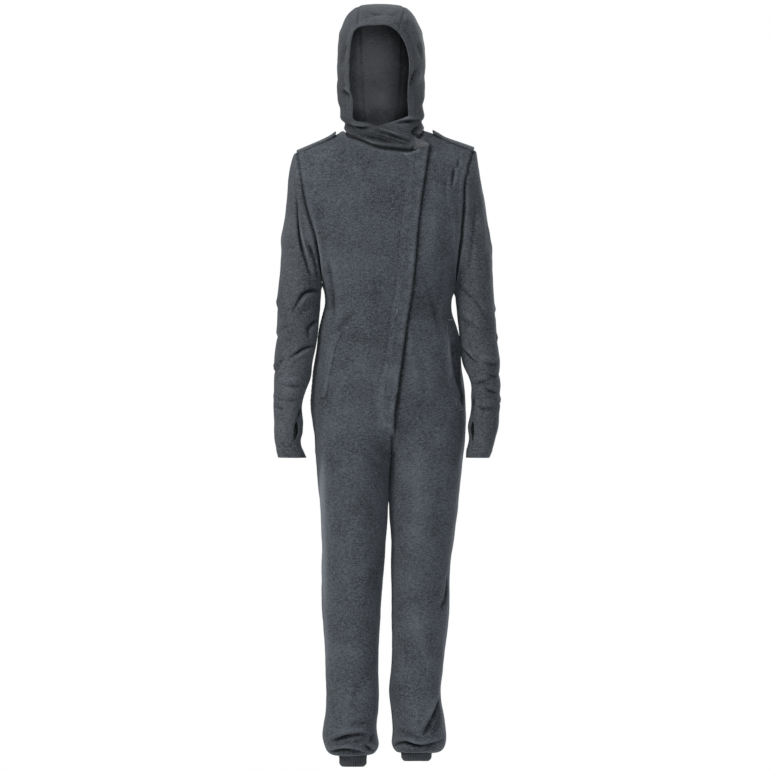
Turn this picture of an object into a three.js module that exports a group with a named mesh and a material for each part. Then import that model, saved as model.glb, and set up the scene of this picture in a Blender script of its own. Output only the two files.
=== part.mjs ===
import * as THREE from 'three'

// A hooded jumpsuit of fleece, in the shape it has when worn. Millimetres, Z up.
// The front faces -Y, and -X is the wearer's right. The origin is the middle of the neck's base,
// level with the inner ends of the shoulders.

const WALL = 2.5 // the fleece with its nap
const SEAM_INSET = 0.15 // each cut edge stands this far back from its seam line
const YOKE_Z = -110 // above this height the panels round over to the shoulder seams
const CROTCH_Z = -715
const SECTION_POWER = 2.2 // how square the torso's section is
const LEG_POWER = 2.15
const FLAP_RISE = 4.75 // the fly flap's outer face over the panel below it
const FLAP_RISE_TOP = 7
const FLY_STEPS = [11, 14, 28] // columns of the fly, measured from its stitched line
const ZIP_LIFT = 0.35
const ZIP_WALL = 1.6
const POCKET_WELT = 12
const LAID_GAP = 0.45 // between a panel and a piece that lies on it
const STRAP_WALL = 3
const STRAP_RISE = 2.5 // the free end of a shoulder strap

// The torso's half-widths right and left of x = 0, and its depths before and behind y = 0.
const TORSO = table('z right left front back', [
  [30, 235, 220, 70, 82],
  [-30, 235, 220, 80, 85],
  [-110, 235, 220, 100, 90],
  [-150, 222, 212, 107, 94],
  [-190, 205, 202, 114, 97],
  [-230, 190, 190, 118, 97],
  [-270, 170, 175, 119, 94],
  [-303, 155, 163, 117, 91],
  [-328, 145, 154, 115, 88],
  [-343, 139, 150, 113, 86],
  [-360, 136, 144, 110, 84],
  [-380, 138, 143, 107, 82],
  [-406, 144, 147, 104, 80],
  [-433, 151, 156, 102, 81],
  [-466, 156, 161, 101, 85],
  [-513, 163, 165, 102, 96],
  [-553, 167, 171, 105, 107],
  [-593, 170, 175, 107, 114],
  [-625, 168, 176, 106, 118],
  [-660, 163, 175, 104, 119],
  [-700, 161, 171, 101, 116],
  [-715, 158.5, 169, 100, 114],
])

// The line of the shoulders. Between the neck points it is the line that the neck's curve is cut from.
const SHOULDER = table('x z', [
  [-201, -35],
  [-171, -22],
  [-141, -9],
  [-112, 3],
  [-94, 10.5],
  [-84, 19],
  [-70, 31],
  [-52, 41],
  [-8, 46],
  [30, 41],
  [56, 29],
  [70, 17],
  [80, 9.5],
  [98, 6.5],
  [126, -4],
  [150, -12.5],
  [172, -20],
  [194, -28],
])

const ARMHOLE = table('z right left', [
  [-28, -202, 194],
  [-60, -196, 176],
  [-95, -191, 173],
  [-125, -186, 173],
  [-167, -178, 171],
  [-205, -166, 167.5],
  [-245, -155, 163],
  [-288, -149, 157.5],
  [-328, -145, 154],
  [-343, -139, 150],
])

const FLY = table('z stitch edge', [
  [-27, 48, 93],
  [-55, 47, 86],
  [-103, 45, 81],
  [-173, 37, 71],
  [-232, 30, 65.5],
  [-299, 24.5, 60],
  [-360, 16.5, 53],
  [-401, 9, 46],
  [-451, 3, 39],
  [-501, -4, 32],
  [-540, -13, 27],
  [-573, -19, 23],
  [-620, -19, 16.5],
  [-658, -18, 16],
  [-687, -20, 12],
  [-714, -24, 9],
])

const POCKET = table('z right left', [
  [-400, -100, 134],
  [-435, -107, 137],
  [-470, -124, 141],
  [-526, -135, 147],
  [-584, -147, 163],
  [-622, -152, 170],
])

// Each leg's outer and inner outline, seen from the front.
const RIGHT_LEG = table('z outer inner', [
  [-600, -169.5, 17],
  [-658, -163.5, 16],
  [-687, -161.5, 12],
  [-715, -158.5, 9],
  [-740, -155.5, 6.3],
  [-767, -153.5, 3.8],
  [-807, -148.5, 2.6],
  [-847, -146, 0],
  [-901, -144, -2],
  [-954, -145.5, -6],
  [-1008, -145, -10],
  [-1061, -143, -14],
  [-1128, -139.5, -17],
  [-1195, -137, -19],
  [-1235, -135, -19],
  [-1262, -136, -19.5],
  [-1289, -138, -21],
  [-1316, -142, -23],
  [-1342, -142, -20.5],
  [-1356, -138, -18],
])
const LEFT_LEG = table('z outer inner', [
  [-600, 175.5, 17],
  [-658, 175, 16],
  [-687, 172.5, 12],
  [-715, 169, 9],
  [-740, 166, 7.5],
  [-767, 163.5, 5.2],
  [-798, 160, 4.8],
  [-847, 155.5, 7],
  [-901, 148, 9.5],
  [-968, 140, 10],
  [-1035, 140, 11],
  [-1088, 137, 11],
  [-1142, 130, 10.5],
  [-1195, 124, 8],
  [-1235, 119.5, 6],
  [-1262, 121, 8],
  [-1289, 127, 11],
  [-1316, 130, 12.5],
  [-1342, 133, 11.5],
  [-1352, 131, 10],
])
const LEG_DEPTH = table('z front back', [
  [-600, 104, 113],
  [-715, 98, 108],
  [-760, 91, 99],
  [-820, 85, 91],
  [-900, 79, 85],
  [-980, 76, 79],
  [-1050, 76, 75],
  [-1130, 68, 79],
  [-1200, 65, 77],
  [-1260, 66, 72],
  [-1316, 69, 71],
  [-1356, 64, 67],
])

// The heights of the rows of the torso. tilt lowers the wearer's left side to its own underarm.
const PIT_Z = -335.5
const TORSO_ROWS = [
  { z: YOKE_Z, tilt: 0 },
  { z: -150, tilt: 0 },
  { z: -190, tilt: 0 },
  { z: -230, tilt: 0.1 },
  { z: -270, tilt: 0.35 },
  { z: -303, tilt: 0.7 },
  { z: PIT_Z, tilt: 1 },
  { z: -366, tilt: 0.5 },
  { z: -400, tilt: 0.1 },
  { z: -435, tilt: 0 },
  { z: -468, tilt: 0 },
  { z: -502, tilt: 0 },
  { z: -540, tilt: 0 },
  { z: -584, tilt: 0 },
  { z: -622, tilt: 0 },
  { z: -654, tilt: 0 },
  { z: -676, tilt: 0 },
  { z: -692, tilt: 0 },
  { z: -703, tilt: 0 },
  { z: -710.5, tilt: 0 },
  { z: CROTCH_Z, tilt: 0 },
]
const UNDERARM = { right: { x: -145, z: PIT_Z + 7.5 }, left: { x: 150, z: PIT_Z - 7.5 } }

// The rows of the legs. turn is how far the cloth has turned in from the full leg to the cuff.
const LEG_ROWS = [
  { right: -722, left: -722, turn: 0 },
  { right: -736, left: -736, turn: 0 },
  { right: -762, left: -762, turn: 0 },
  { right: -802, left: -802, turn: 0 },
  { right: -850, left: -850, turn: 0 },
  { right: -905, left: -905, turn: 0 },
  { right: -960, left: -960, turn: 0 },
  { right: -1015, left: -1015, turn: 0 },
  { right: -1065, left: -1065, turn: 0 },
  { right: -1112, left: -1112, turn: 0 },
  { right: -1155, left: -1155, turn: 0 },
  { right: -1195, left: -1195, turn: 0 },
  { right: -1235, left: -1235, turn: 0 },
  { right: -1264, left: -1262, turn: 0 },
  { right: -1290, left: -1286, turn: 0 },
  { right: -1316, left: -1310, turn: 0 },
  { right: -1340, left: -1333, turn: 0 },
  { right: -1356, left: -1350, turn: 0 },
  { right: -1369, left: -1363, turn: 0.16 },
  { right: -1378, left: -1372, turn: 0.5 },
  { right: -1381, left: -1375, turn: 1 },
]
const CUFF = {
  right: { x: -76, y: 3, halfWidth: 31, halfDepth: 36, bottom: -1404 },
  left: { x: 65.5, y: 3, halfWidth: 34.5, halfDepth: 38, bottom: -1391 },
}

// Each sleeve's outer and inner outline, seen from the front.
const RIGHT_SLEEVE = table('z outer inner', [
  [-35, -201, -145],
  [-45, -209, -145],
  [-71, -216, -145],
  [-112, -221, -145],
  [-152, -225, -145],
  [-192, -230, -145],
  [-239, -233, -145],
  [-312, -239, -145],
  [-328, -240.5, -145],
  [-352, -243, -147],
  [-379, -244, -149],
  [-410, -245, -152],
  [-446, -246, -154],
  [-477, -250, -158],
  [-505, -252, -165],
  [-540, -251.5, -170],
  [-569, -251.5, -181],
  [-589, -252, -187],
  [-607, -251, -190],
  [-633, -250, -186],
  [-660, -250, -187],
  [-682, -249, -192],
  [-700, -246, -187],
  [-716, -242, -180],
])
const LEFT_SLEEVE = table('z outer inner', [
  [-28, 194, 150],
  [-45, 201, 150],
  [-71, 205, 150],
  [-112, 212, 150],
  [-152, 219, 150],
  [-192, 224, 150],
  [-245, 230, 150],
  [-300, 234, 150],
  [-343, 238, 150],
  [-366, 240, 153],
  [-406, 243, 158],
  [-446, 246, 163],
  [-480, 249.5, 165],
  [-506, 252, 169],
  [-524, 249, 175],
  [-553, 253, 187],
  [-575, 251, 187.5],
  [-593, 254, 187],
  [-620, 251, 185],
  [-647, 248, 180],
  [-674, 241, 182],
  [-700, 233, 178],
  [-716, 226, 177],
])
// Half the sleeve's depth, and how far its middle has come forward, by the height of the ring's middle.
const SLEEVE_DEPTH = table('z half drift', [
  [-180, 66, 0],
  [-300, 62, -3],
  [-395, 56, -7],
  [-450, 52, -12],
  [-566, 43, -25],
  [-660, 37, -34],
  [-716, 35, -38],
])
const SLEEVE_LEVEL_Z = -395 // above this the rings fan out around the underarm
const SLEEVE_FAN = [0.06, 0.14, 0.24, 0.36, 0.49, 0.62, 0.75, 0.88, 1]
const SLEEVE_RINGS = [
  -413, -431, -449, -467, -485, -503, -521, -539, -557, -576, -595, -615, -636, -650, -664, -678, -697, -716,
]
const THUMB_RINGS = [-636, -650, -664, -678]

// The hood. Each hoop rises from the neck seam over the head; hoop 0 is the face's opening.
// y and z are the hoop's top, width its half-width, seam the half-width of the centre panel there.
const HOOPS = [
  { y: -68, z: 277, width: 94.5, seam: 50 },
  { y: -10, z: 294, width: 96, seam: 50 },
  { y: 48, z: 284, width: 96, seam: 50 },
  { y: 93, z: 248, width: 93, seam: 48 },
  { y: 116, z: 188, width: 88, seam: 45 },
  { y: 106, z: 112, width: 76, seam: 41 },
]
const HOOD_X = -13.5
const HOOD_POWER = 3.2
const HOOD_WIDEST = 0.42 // share of a hoop's height
const HOOD_LOW_LEVELS = [0.3, 0.19, 0.1, 0.045, 0]
const OPENING = {
  right: [
    [-66, -112, 234],
    [-76, -112, 221],
    [-82.5, -110, 196],
    [-85.5, -106, 163],
    [-85.5, -101, 128],
    [-80, -93, 94],
    [-75, -82, 62],
    [-74.5, -66, 34],
    [-76, -55, 15],
  ],
  left: [
    [25, -112, 226],
    [38, -112, 206],
    [47, -110, 182],
    [50, -106, 154],
    [49, -101, 124],
    [47.5, -93, 93],
    [48.5, -80, 64],
    [48, -66, 42],
    [60, -53, 18],
  ],
}
const FOREHEAD = [
  [-44, -114, 239.5],
  [-20, -115, 240.5],
  [3, -114, 240],
]
// The upper edge of the over layer of the neck, and of the layer behind it with that layer's free lower edge.
const OVER_EDGE = [
  [-50, -78, 27],
  [-18, -82, 16],
  [15, -82, 5],
  [48, -76, -5],
  [59, -73, -6.5],
]
const UNDER_EDGE = [
  [44, -68, 40],
  [37, -70, 36.5],
  [24, -72, 32],
  [8, -73, 26.5],
  [-8, -72, 21.5],
  [-22, -70, 18],
]
const UNDER_FREE = [
  [46, -59, -14],
  [24, -62, -6],
  [0, -63, 2],
  [-19, -64, 8],
]
const TAB_EDGE = [
  [62, -71.5, -7],
  [76, -59, -10],
  [92, -52, -18],
]

// The top edges of the panels: x of each column, and z where the column ends on the neck.
const FRONT_RIGHT_TOP = [
  [-201], [-171], [-141], [-112], [-94], [-89, 1], [-80, -3], [-50, -15], [-18, -27], [15, -32],
  [48, -35], [59, -35], [62, -35], [76, -32], [93, -27],
]
const FRONT_LEFT_TOP = [[66, -15], [69, -10], [72, -5], [76, 2], [80], [90], [100], [126], [150], [172], [194]]
const BACK_RIGHT_TOP = [
  [-5, 19], [-28, 18.4], [-52, 17], [-70, 15.3], [-82, 13.8], [-89, 12.3], [-92.5, 11.2],
  [-94], [-112], [-141], [-171], [-201],
]
const BACK_LEFT_TOP = [
  [194], [172], [150], [126], [100], [90], [80], [79, 9.6], [75, 11.5], [66, 13.5], [48, 16],
  [22, 18], [9, 18.6], [-5, 19],
]
const YOKE_ARCS = [11.5, 23] // first rows below the top edge, measured over the cloth
const CENTRE_BACK = table('z x', [[19, -5], [-110, -2], [-400, 3], [-600, 10], [-658, 12], [-687, 11], [-715, 9]])

const COLOURS = {
  body: 0x44474d,
  sleeve: 0x4a4d52,
  hood: 0x4b4c50,
  cuff: 0x393c3f,
  strap: 0x404349,
  tab: 0x585a5d,
  zip: 0x26272a,
}

// Reads a table by its first column. Between rows the value follows a smooth curve that never overshoots.
function table(names, rows) {
  const columns = names.split(' ')
  const sorted = rows.slice().sort((a, b) => a[0] - b[0])
  const last = sorted.length - 1
  return (name, key) => {
    const c = columns.indexOf(name)
    if (key <= sorted[0][0]) return sorted[0][c]
    if (key >= sorted[last][0]) return sorted[last][c]
    const i = sorted.findIndex((row) => row[0] > key) - 1
    const rise = (n) => (sorted[n + 1][c] - sorted[n][c]) / (sorted[n + 1][0] - sorted[n][0])
    const slope = (n) => {
      if (n === 0) return rise(0)
      if (n === last) return rise(last - 1)
      const product = rise(n - 1) * rise(n)
      return product <= 0 ? 0 : (2 * product) / (rise(n - 1) + rise(n))
    }
    const span = sorted[i + 1][0] - sorted[i][0]
    const t = (key - sorted[i][0]) / span
    const start = (1 + 2 * t) * (1 - t) ** 2 * sorted[i][c] + t * (1 - t) ** 2 * span * slope(i)
    return start + t * t * (3 - 2 * t) * sorted[i + 1][c] + t * t * (t - 1) * span * slope(i + 1)
  }
}

const mix = (a, b, t) => a + (b - a) * t
const clamp = (t) => Math.min(1, Math.max(0, t))
const ease = (t) => clamp(t) ** 2 * (3 - 2 * clamp(t))
const rounded = (t, power) => Math.max(0, 1 - Math.abs(t) ** power) ** (1 / power)
const point = (x, y, z) => new THREE.Vector3(x, y, z)
const pointOf = (xyz) => point(xyz[0], xyz[1], xyz[2])
const between = (a, b, t) => a.clone().lerp(b, t)

// The torso's section: its angle runs from the right side over the front or back to the left side.
function angleAt(x, z) {
  const half = TORSO(x < 0 ? 'right' : 'left', z)
  const share = Math.min(1, Math.abs(x) / half) ** (SECTION_POWER / 2)
  return Math.acos(x < 0 ? share : -share)
}
function torsoPoint(face, angle, z) {
  const cosine = Math.cos(angle)
  const half = TORSO(cosine > 0 ? 'right' : 'left', z)
  const x = -Math.sign(cosine) * half * Math.abs(cosine) ** (2 / SECTION_POWER)
  const depth = TORSO(face < 0 ? 'front' : 'back', z)
  return point(x, face * depth * Math.max(0, Math.sin(angle)) ** (2 / SECTION_POWER), z)
}
function sideX(side, z) {
  return z > UNDERARM[side].z ? ARMHOLE(side, z) : TORSO(side, z) * (side === 'right' ? -1 : 1)
}

// share is 0 at the leg's outer side and 1 at its inner seam.
function legPoint(side, face, share, z) {
  const leg = side === 'right' ? RIGHT_LEG : LEFT_LEG
  const outer = z > CROTCH_Z ? sideX(side, z) : leg('outer', z)
  const inner = leg('inner', z)
  const cosine = Math.cos(Math.PI * share)
  const across = (1 - Math.sign(cosine) * Math.abs(cosine) ** (2 / LEG_POWER)) / 2
  const depth = LEG_DEPTH(face < 0 ? 'front' : 'back', z)
  const round = Math.max(0, Math.sin(Math.PI * share)) ** (2 / LEG_POWER)
  return point(mix(outer, inner, across), face * depth * round, z)
}
function cuffPoint(side, face, share, z) {
  const cuff = CUFF[side]
  const outward = side === 'right' ? -1 : 1
  const angle = Math.PI * share
  const x = cuff.x + outward * cuff.halfWidth * Math.cos(angle)
  return point(x, cuff.y + face * cuff.halfDepth * Math.sin(angle), z)
}

// How far a row between the seat and the crotch has changed from torso to leg: slowly at the leg's outer
// side, where share is 0, and along the curve of the crotch seam at its inner side.
function legBlend(face, share, z) {
  const seamStart = face < 0 ? -612 : -640
  const seamShare = clamp((seamStart - z) / (seamStart - CROTCH_Z))
  const seam = 1 - (1 - seamShare ** 2.2) ** 0.7
  return mix(ease((-570 - z) / (-570 - CROTCH_Z)), seam, share ** 2)
}

// One panel's columns at one height, as angles of the torso's section.
const spread = (from, to, count) => Array.from({ length: count }, (_, n) => mix(from, to, n / (count - 1)))
const pocketShare = (z) => ease((z + 366) / -60) * ease((z + 660) / 60)
function panelAngles(name, z) {
  const x = { stitch: FLY('stitch', z), edge: FLY('edge', z) }
  if (name === 'front_right') {
    const plain = spread(angleAt(sideX('right', z), z), angleAt(x.stitch, z), 11)
    const mouth = angleAt(POCKET('right', z), z)
    const inside = angleAt(POCKET('right', z) + POCKET_WELT, z)
    const cut = [...spread(plain[0], mouth, 5), ...spread(inside, plain[10], 6)]
    const angles = plain.map((angle, n) => mix(angle, cut[n], pocketShare(z)))
    return [...angles, ...FLY_STEPS.map((step) => angleAt(x.stitch + step, z)), angleAt(x.edge, z)]
  }
  if (name === 'front_left') {
    const plain = spread(angleAt(x.edge, z), angleAt(sideX('left', z), z), 9)
    const mouth = angleAt(POCKET('left', z), z)
    const inside = angleAt(POCKET('left', z) - POCKET_WELT, z)
    const cut = [...spread(plain[0], inside, 6), ...spread(mouth, plain[8], 3)]
    const angles = plain.map((angle, n) => mix(angle, cut[n], pocketShare(z)))
    return [angleAt(x.stitch + FLY_STEPS[1], z), angleAt(x.stitch + FLY_STEPS[2], z), ...angles]
  }
  const centre = angleAt(CENTRE_BACK('x', z), z)
  if (name === 'back_right') return spread(centre, angleAt(sideX('right', z), z), BACK_RIGHT_TOP.length)
  return spread(angleAt(sideX('left', z), z), centre, BACK_LEFT_TOP.length)
}

// The rows of one column from its top edge down to the yoke line, at even steps over the cloth.
function yokeColumn(face, top, foot) {
  const topZ = top.length > 1 ? top[1] : SHOULDER('z', top[0])
  const at = (s) => {
    const x = mix(foot.x, top[0], s)
    const z = mix(YOKE_Z, topZ, s)
    const height = clamp((z - YOKE_Z) / (SHOULDER('z', x) - YOKE_Z))
    const half = TORSO(x < 0 ? 'right' : 'left', YOKE_Z)
    const depth = TORSO(face < 0 ? 'front' : 'back', z)
    return point(x, face * depth * rounded(x / half, SECTION_POWER) * rounded(height, 2), z)
  }
  const steps = Array.from({ length: 401 }, (_, n) => at(1 - (n / 400) ** 2))
  const lengths = [0]
  steps.slice(1).forEach((p, n) => lengths.push(lengths[n] + p.distanceTo(steps[n])))
  const total = lengths[400]
  const rest = [1, 2].map((n) => YOKE_ARCS[1] + ((total - YOKE_ARCS[1]) * n) / 3)
  const wanted = [0, ...YOKE_ARCS, ...rest]
  return wanted.map((length) => steps[Math.max(0, lengths.findIndex((l) => l >= length))])
}

// One panel, from the shoulder to the ankle cuff, as rows of points.
function panelGrid(name, tops) {
  const face = name.startsWith('front') ? -1 : 1
  const side = name.endsWith('right') ? 'right' : 'left'
  const under = name === 'front_left' ? 2 : 0
  const whole = tops.length - 1 - under
  const shareOf = (angles, n) => {
    const own = side === 'right' ? angles : angles.map((angle) => Math.PI - angle)
    const seam = name === 'front_right' ? own[whole] : name === 'front_left' ? own[under] : 0
    return (name.startsWith('back') ? own[n] / own[side === 'right' ? 0 : whole] : own[n] / seam)
  }
  const evenShare = (n) => {
    const outerFirst = name === 'front_right' || name === 'back_left'
    return outerFirst ? n / whole : 1 - (n - under) / whole
  }
  const rows = TORSO_ROWS.map((row) => {
    const flat = panelAngles(name, row.z)
    return flat.map((angle, n) => {
      const lowered = -0.0508 * torsoPoint(face, angle, row.z).x * row.tilt
      const z = row.z + (row.tilt === 1 ? tiltAtSide(angle, lowered) : lowered)
      const own = panelAngles(name, z)[n]
      const share = clamp(shareOf(flat, n))
      const blend = legBlend(face, share, z)
      const onTorso = torsoPoint(face, own, z)
      return blend > 0 ? between(onTorso, legPoint(side, face, share, z), blend) : onTorso
    })
  })
  const seat = panelAngles(name, -654)
  for (const row of LEG_ROWS) {
    const z = row[side]
    const even = ease((-700 - z) / 160)
    const last = LEG_ROWS[LEG_ROWS.length - 4][side]
    rows.push(
      seat.map((_, n) => {
        const share = clamp(mix(shareOf(seat, n), evenShare(n), even))
        const leg = legPoint(side, face, share, Math.max(z, last))
        const turned = between(leg, cuffPoint(side, face, share, z), row.turn)
        return point(turned.x, turned.y, z)
      }),
    )
  }
  const columns = tops.map((top, n) => yokeColumn(face, top, rows[0][n]))
  const yoke = columns[0].map((_, i) => columns.map((column) => column[i]))
  return [...yoke, ...rows]
}
// The underarm row meets each side seam at that side's own height.
function tiltAtSide(angle, lowered) {
  if (angle < 1e-6) return UNDERARM.right.z - PIT_Z
  if (angle > Math.PI - 1e-6) return UNDERARM.left.z - PIT_Z
  return Math.max(UNDERARM.left.z - PIT_Z, Math.min(UNDERARM.right.z - PIT_Z, lowered))
}

// The outward direction at each point of a grid, from the faces around it.
function gridNormals(grid, keep = () => true) {
  const normals = grid.map((row) => row.map(() => point(0, 0, 0)))
  for (let i = 0; i < grid.length - 1; i++) {
    for (let j = 0; j < grid[i].length - 1; j++) {
      if (!keep(i, j)) continue
      const down = grid[i + 1][j + 1].clone().sub(grid[i][j])
      const across = grid[i][j + 1].clone().sub(grid[i + 1][j])
      const normal = down.cross(across)
      for (const [r, c] of [[i, j], [i + 1, j], [i + 1, j + 1], [i, j + 1]]) normals[r][c].add(normal)
    }
  }
  return normals.map((row) => row.map((normal) => normal.normalize()))
}
function raised(grid, amount) {
  const normals = gridNormals(grid)
  const rise = typeof amount === 'number' ? () => amount : amount
  return grid.map((row, i) => row.map((p, j) => p.clone().addScaledVector(normals[i][j], rise(i, j))))
}

// Pieces are gathered first and thickened together, so that those that meet at a seam agree on its direction.
const pieces = []
const seamNormals = new Map()
const keyOf = (p) => [p.x, p.y, p.z].map((value) => Math.round(value * 50)).join()

const USUAL = { wall: WALL, inset: SEAM_INSET, keep: () => true, sewn: true }
function addPiece(name, grid, colour, options = {}) {
  const { wall, inset, keep, sewn } = { ...USUAL, ...options }
  const points = []
  const numbers = new Map()
  const number = (p) => {
    const key = keyOf(p)
    if (!numbers.has(key)) {
      numbers.set(key, points.length)
      points.push(p.clone())
    }
    return numbers.get(key)
  }
  const triangles = []
  for (let i = 0; i < grid.length - 1; i++) {
    for (let j = 0; j < grid[i].length - 1; j++) {
      if (!keep(i, j)) continue
      const [a, b, c, d] = [grid[i][j], grid[i + 1][j], grid[i + 1][j + 1], grid[i][j + 1]].map(number)
      for (const triangle of [[a, b, c], [a, c, d]]) {
        if (new Set(triangle).size === 3) triangles.push(triangle)
      }
    }
  }
  const normals = points.map(() => point(0, 0, 0))
  for (const [a, b, c] of triangles) {
    const normal = points[b].clone().sub(points[a]).cross(points[c].clone().sub(points[a]))
    for (const n of [a, b, c]) normals[n].add(normal)
  }
  if (sewn) {
    points.forEach((p, n) => {
      const key = keyOf(p)
      if (!seamNormals.has(key)) seamNormals.set(key, point(0, 0, 0))
      seamNormals.get(key).add(normals[n])
    })
  }
  pieces.push({ name, points, triangles, normals, colour, wall, inset, sewn })
}

function boundaryEdges(triangles) {
  const edges = new Map()
  for (const [a, b, c] of triangles) {
    for (const [from, to, third] of [[a, b, c], [b, c, a], [c, a, b]]) {
      if (edges.has(`${to},${from}`)) edges.delete(`${to},${from}`)
      else edges.set(`${from},${to}`, [from, to, third])
    }
  }
  return [...edges.values()]
}

// Makes the closed wall of one piece: its outer face, its inner face, and the cut edges between them.
// A cut edge is split along the same diagonal as the neighbour's, whichever way round either one runs.
function wallMesh({ name, points, triangles, normals, colour, wall, inset, sewn }) {
  const directions = points.map((p, n) => (sewn ? seamNormals.get(keyOf(p)) : normals[n]).clone().normalize())
  const edges = boundaryEdges(triangles)
  const inward = points.map(() => [])
  for (const [from, to, third] of edges) {
    const along = points[to].clone().sub(points[from]).normalize()
    const overFace = points[third].clone().sub(points[from])
    overFace.addScaledVector(along, -overFace.dot(along)).normalize()
    for (const n of [from, to]) {
      const beside = directions[n].clone().cross(along)
      inward[n].push(beside.length() < 0.5 ? overFace : beside.normalize())
    }
  }
  const outer = points.map((p, n) => {
    if (inward[n].length !== 2) return p.clone()
    const [a, b] = inward[n]
    return p.clone().addScaledVector(a.clone().add(b), inset / Math.max(0.3, 1 + a.dot(b)))
  })
  const inner = outer.map((p, n) => p.clone().addScaledVector(directions[n], -wall))
  const count = points.length
  const faces = []
  for (const [a, b, c] of triangles) faces.push(a, b, c, a + count, c + count, b + count)
  for (const [from, to] of edges) {
    const [inFrom, inTo] = [from + count, to + count]
    if (keyOf(points[from]) < keyOf(points[to])) faces.push(from, inFrom, inTo, from, inTo, to)
    else faces.push(from, inFrom, to, to, inFrom, inTo)
  }
  const geometry = new THREE.BufferGeometry()
  const positions = [...outer, ...inner].flatMap((p) => [p.x, p.y, p.z])
  geometry.setAttribute('position', new THREE.Float32BufferAttribute(positions, 3))
  geometry.setIndex(faces)
  geometry.computeVertexNormals()
  const material = new THREE.MeshStandardMaterial({ color: colour, roughness: 0.95 })
  const mesh = new THREE.Mesh(geometry, material)
  mesh.name = name
  return mesh
}

// The four long panels.
const frontRight = panelGrid('front_right', FRONT_RIGHT_TOP)
const frontLeft = panelGrid('front_left', FRONT_LEFT_TOP)
const backRight = panelGrid('back_right', BACK_RIGHT_TOP)
const backLeft = panelGrid('back_left', BACK_LEFT_TOP)
const YOKE_ROWS = 5
const rowOf = (z) => YOKE_ROWS + TORSO_ROWS.findIndex((row) => row.z === z)
const flapEnd = rowOf(-622)
// Below the flap, the left panel carries on over the same points as the right one.
for (let i = YOKE_ROWS; i <= flapEnd; i++) {
  frontLeft[i][0] = frontRight[i][12].clone()
  frontLeft[i][1] = frontRight[i][13].clone()
}

// The fly flap stands off the panel below it, from a little past its stitched line to its free edge.
const flapRise = (i, j) => {
  if (j < 11 || i > flapEnd) return 0
  return mix(FLAP_RISE_TOP, FLAP_RISE, ease(i / YOKE_ROWS))
}
const frontOver = raised(frontRight, flapRise)

// Each panel is one cut of cloth from shoulder to ankle. It is made as three nodes, apart like a seam,
// because the hollow of the chest, the hips and the leg each need collision pieces of their own.
const legRow = YOKE_ROWS + TORSO_ROWS.length + LEG_ROWS.findIndex((row) => row.right === -762)
const STRETCHES = [
  { end: 'upper', from: 0, to: rowOf(-400) },
  { end: 'hip', from: rowOf(-400), to: legRow },
  { end: 'leg', from: legRow, to: Infinity },
]
function addPanel(name, grid, keep = () => true) {
  for (const { end, from, to } of STRETCHES) {
    addPiece(`${name}_${end}`, grid, COLOURS.body, { keep: (i, j) => i >= from && i < to && keep(i, j) })
  }
}
addPanel('front_right', frontOver)
addPanel('front_left', frontLeft, (i, j) => j >= 2 || i < flapEnd)
addPanel('back_right', backRight)
addPanel('back_left', backLeft)

// The strip that closes the fly, between the flap and the panel below.
const zipRows = frontLeft.slice(2, rowOf(-584) + 1).map((row) => row.slice(0, 3))
const zipGrid = raised(zipRows, ZIP_LIFT + ZIP_WALL).map((row) => row.slice(0, 2))
addPiece('zip_tape', zipGrid, COLOURS.zip, { wall: ZIP_WALL, sewn: false })

// The welts of the two slanted pockets.
const rightMouth = frontRight.slice(rowOf(-435), rowOf(-584) + 1).map((row) => row.slice(4, 6))
const leftMouth = frontLeft.slice(rowOf(-468), rowOf(-584) + 1).map((row) => row.slice(7, 9))
for (const [name, mouth] of [['pocket_welt_right', rightMouth], ['pocket_welt_left', leftMouth]]) {
  addPiece(name, raised(mouth, LAID_GAP + WALL), COLOURS.body, { sewn: false })
}

// A shoulder strap lies over the shoulder seam, sewn in at the armhole, with its free end raised near the neck.
const overShoulder = (front, back) => [front[2], front[1], front[0], back[1], back[2]]
const strapRight = overShoulder(
  frontRight.map((row) => row.slice(0, 4)),
  backRight.map((row) => row.slice(8, 12).reverse()),
)
const strapLeft = overShoulder(
  frontLeft.map((row) => row.slice(6, 11)),
  backLeft.map((row) => row.slice(0, 5).reverse()),
)
for (const [name, strap, freeEnd] of [['epaulette_right', strapRight, 3], ['epaulette_left', strapLeft, 0]]) {
  const lift = (i, j) => -(LAID_GAP + STRAP_WALL + (j === freeEnd ? STRAP_RISE : 0))
  const options = { wall: STRAP_WALL, inset: 1, sewn: false }
  addPiece(name, raised(strap, lift).reverse(), COLOURS.strap, options)
}

// The ankle cuffs take up each leg's last row.
function cuffGrid(side, ring) {
  const { x, bottom } = CUFF[side]
  const drop = bottom - ring[0].z
  return [0, 0.35, 0.7, 1].map((t) =>
    ring.map((p) => point(mix(p.x, x, 0.03 * Math.sin(Math.PI * t)), p.y, p.z + drop * t)),
  )
}
const lastRow = frontLeft.length - 1
const rightRing = [...frontOver[lastRow], ...backRight[lastRow].slice(1)]
const leftRing = [...frontLeft[lastRow].slice(2), ...backLeft[lastRow].slice(1)]
addPiece('ankle_cuff_right', cuffGrid('right', rightRing), COLOURS.cuff)
addPiece('ankle_cuff_left', cuffGrid('left', leftRing), COLOURS.cuff)

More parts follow.
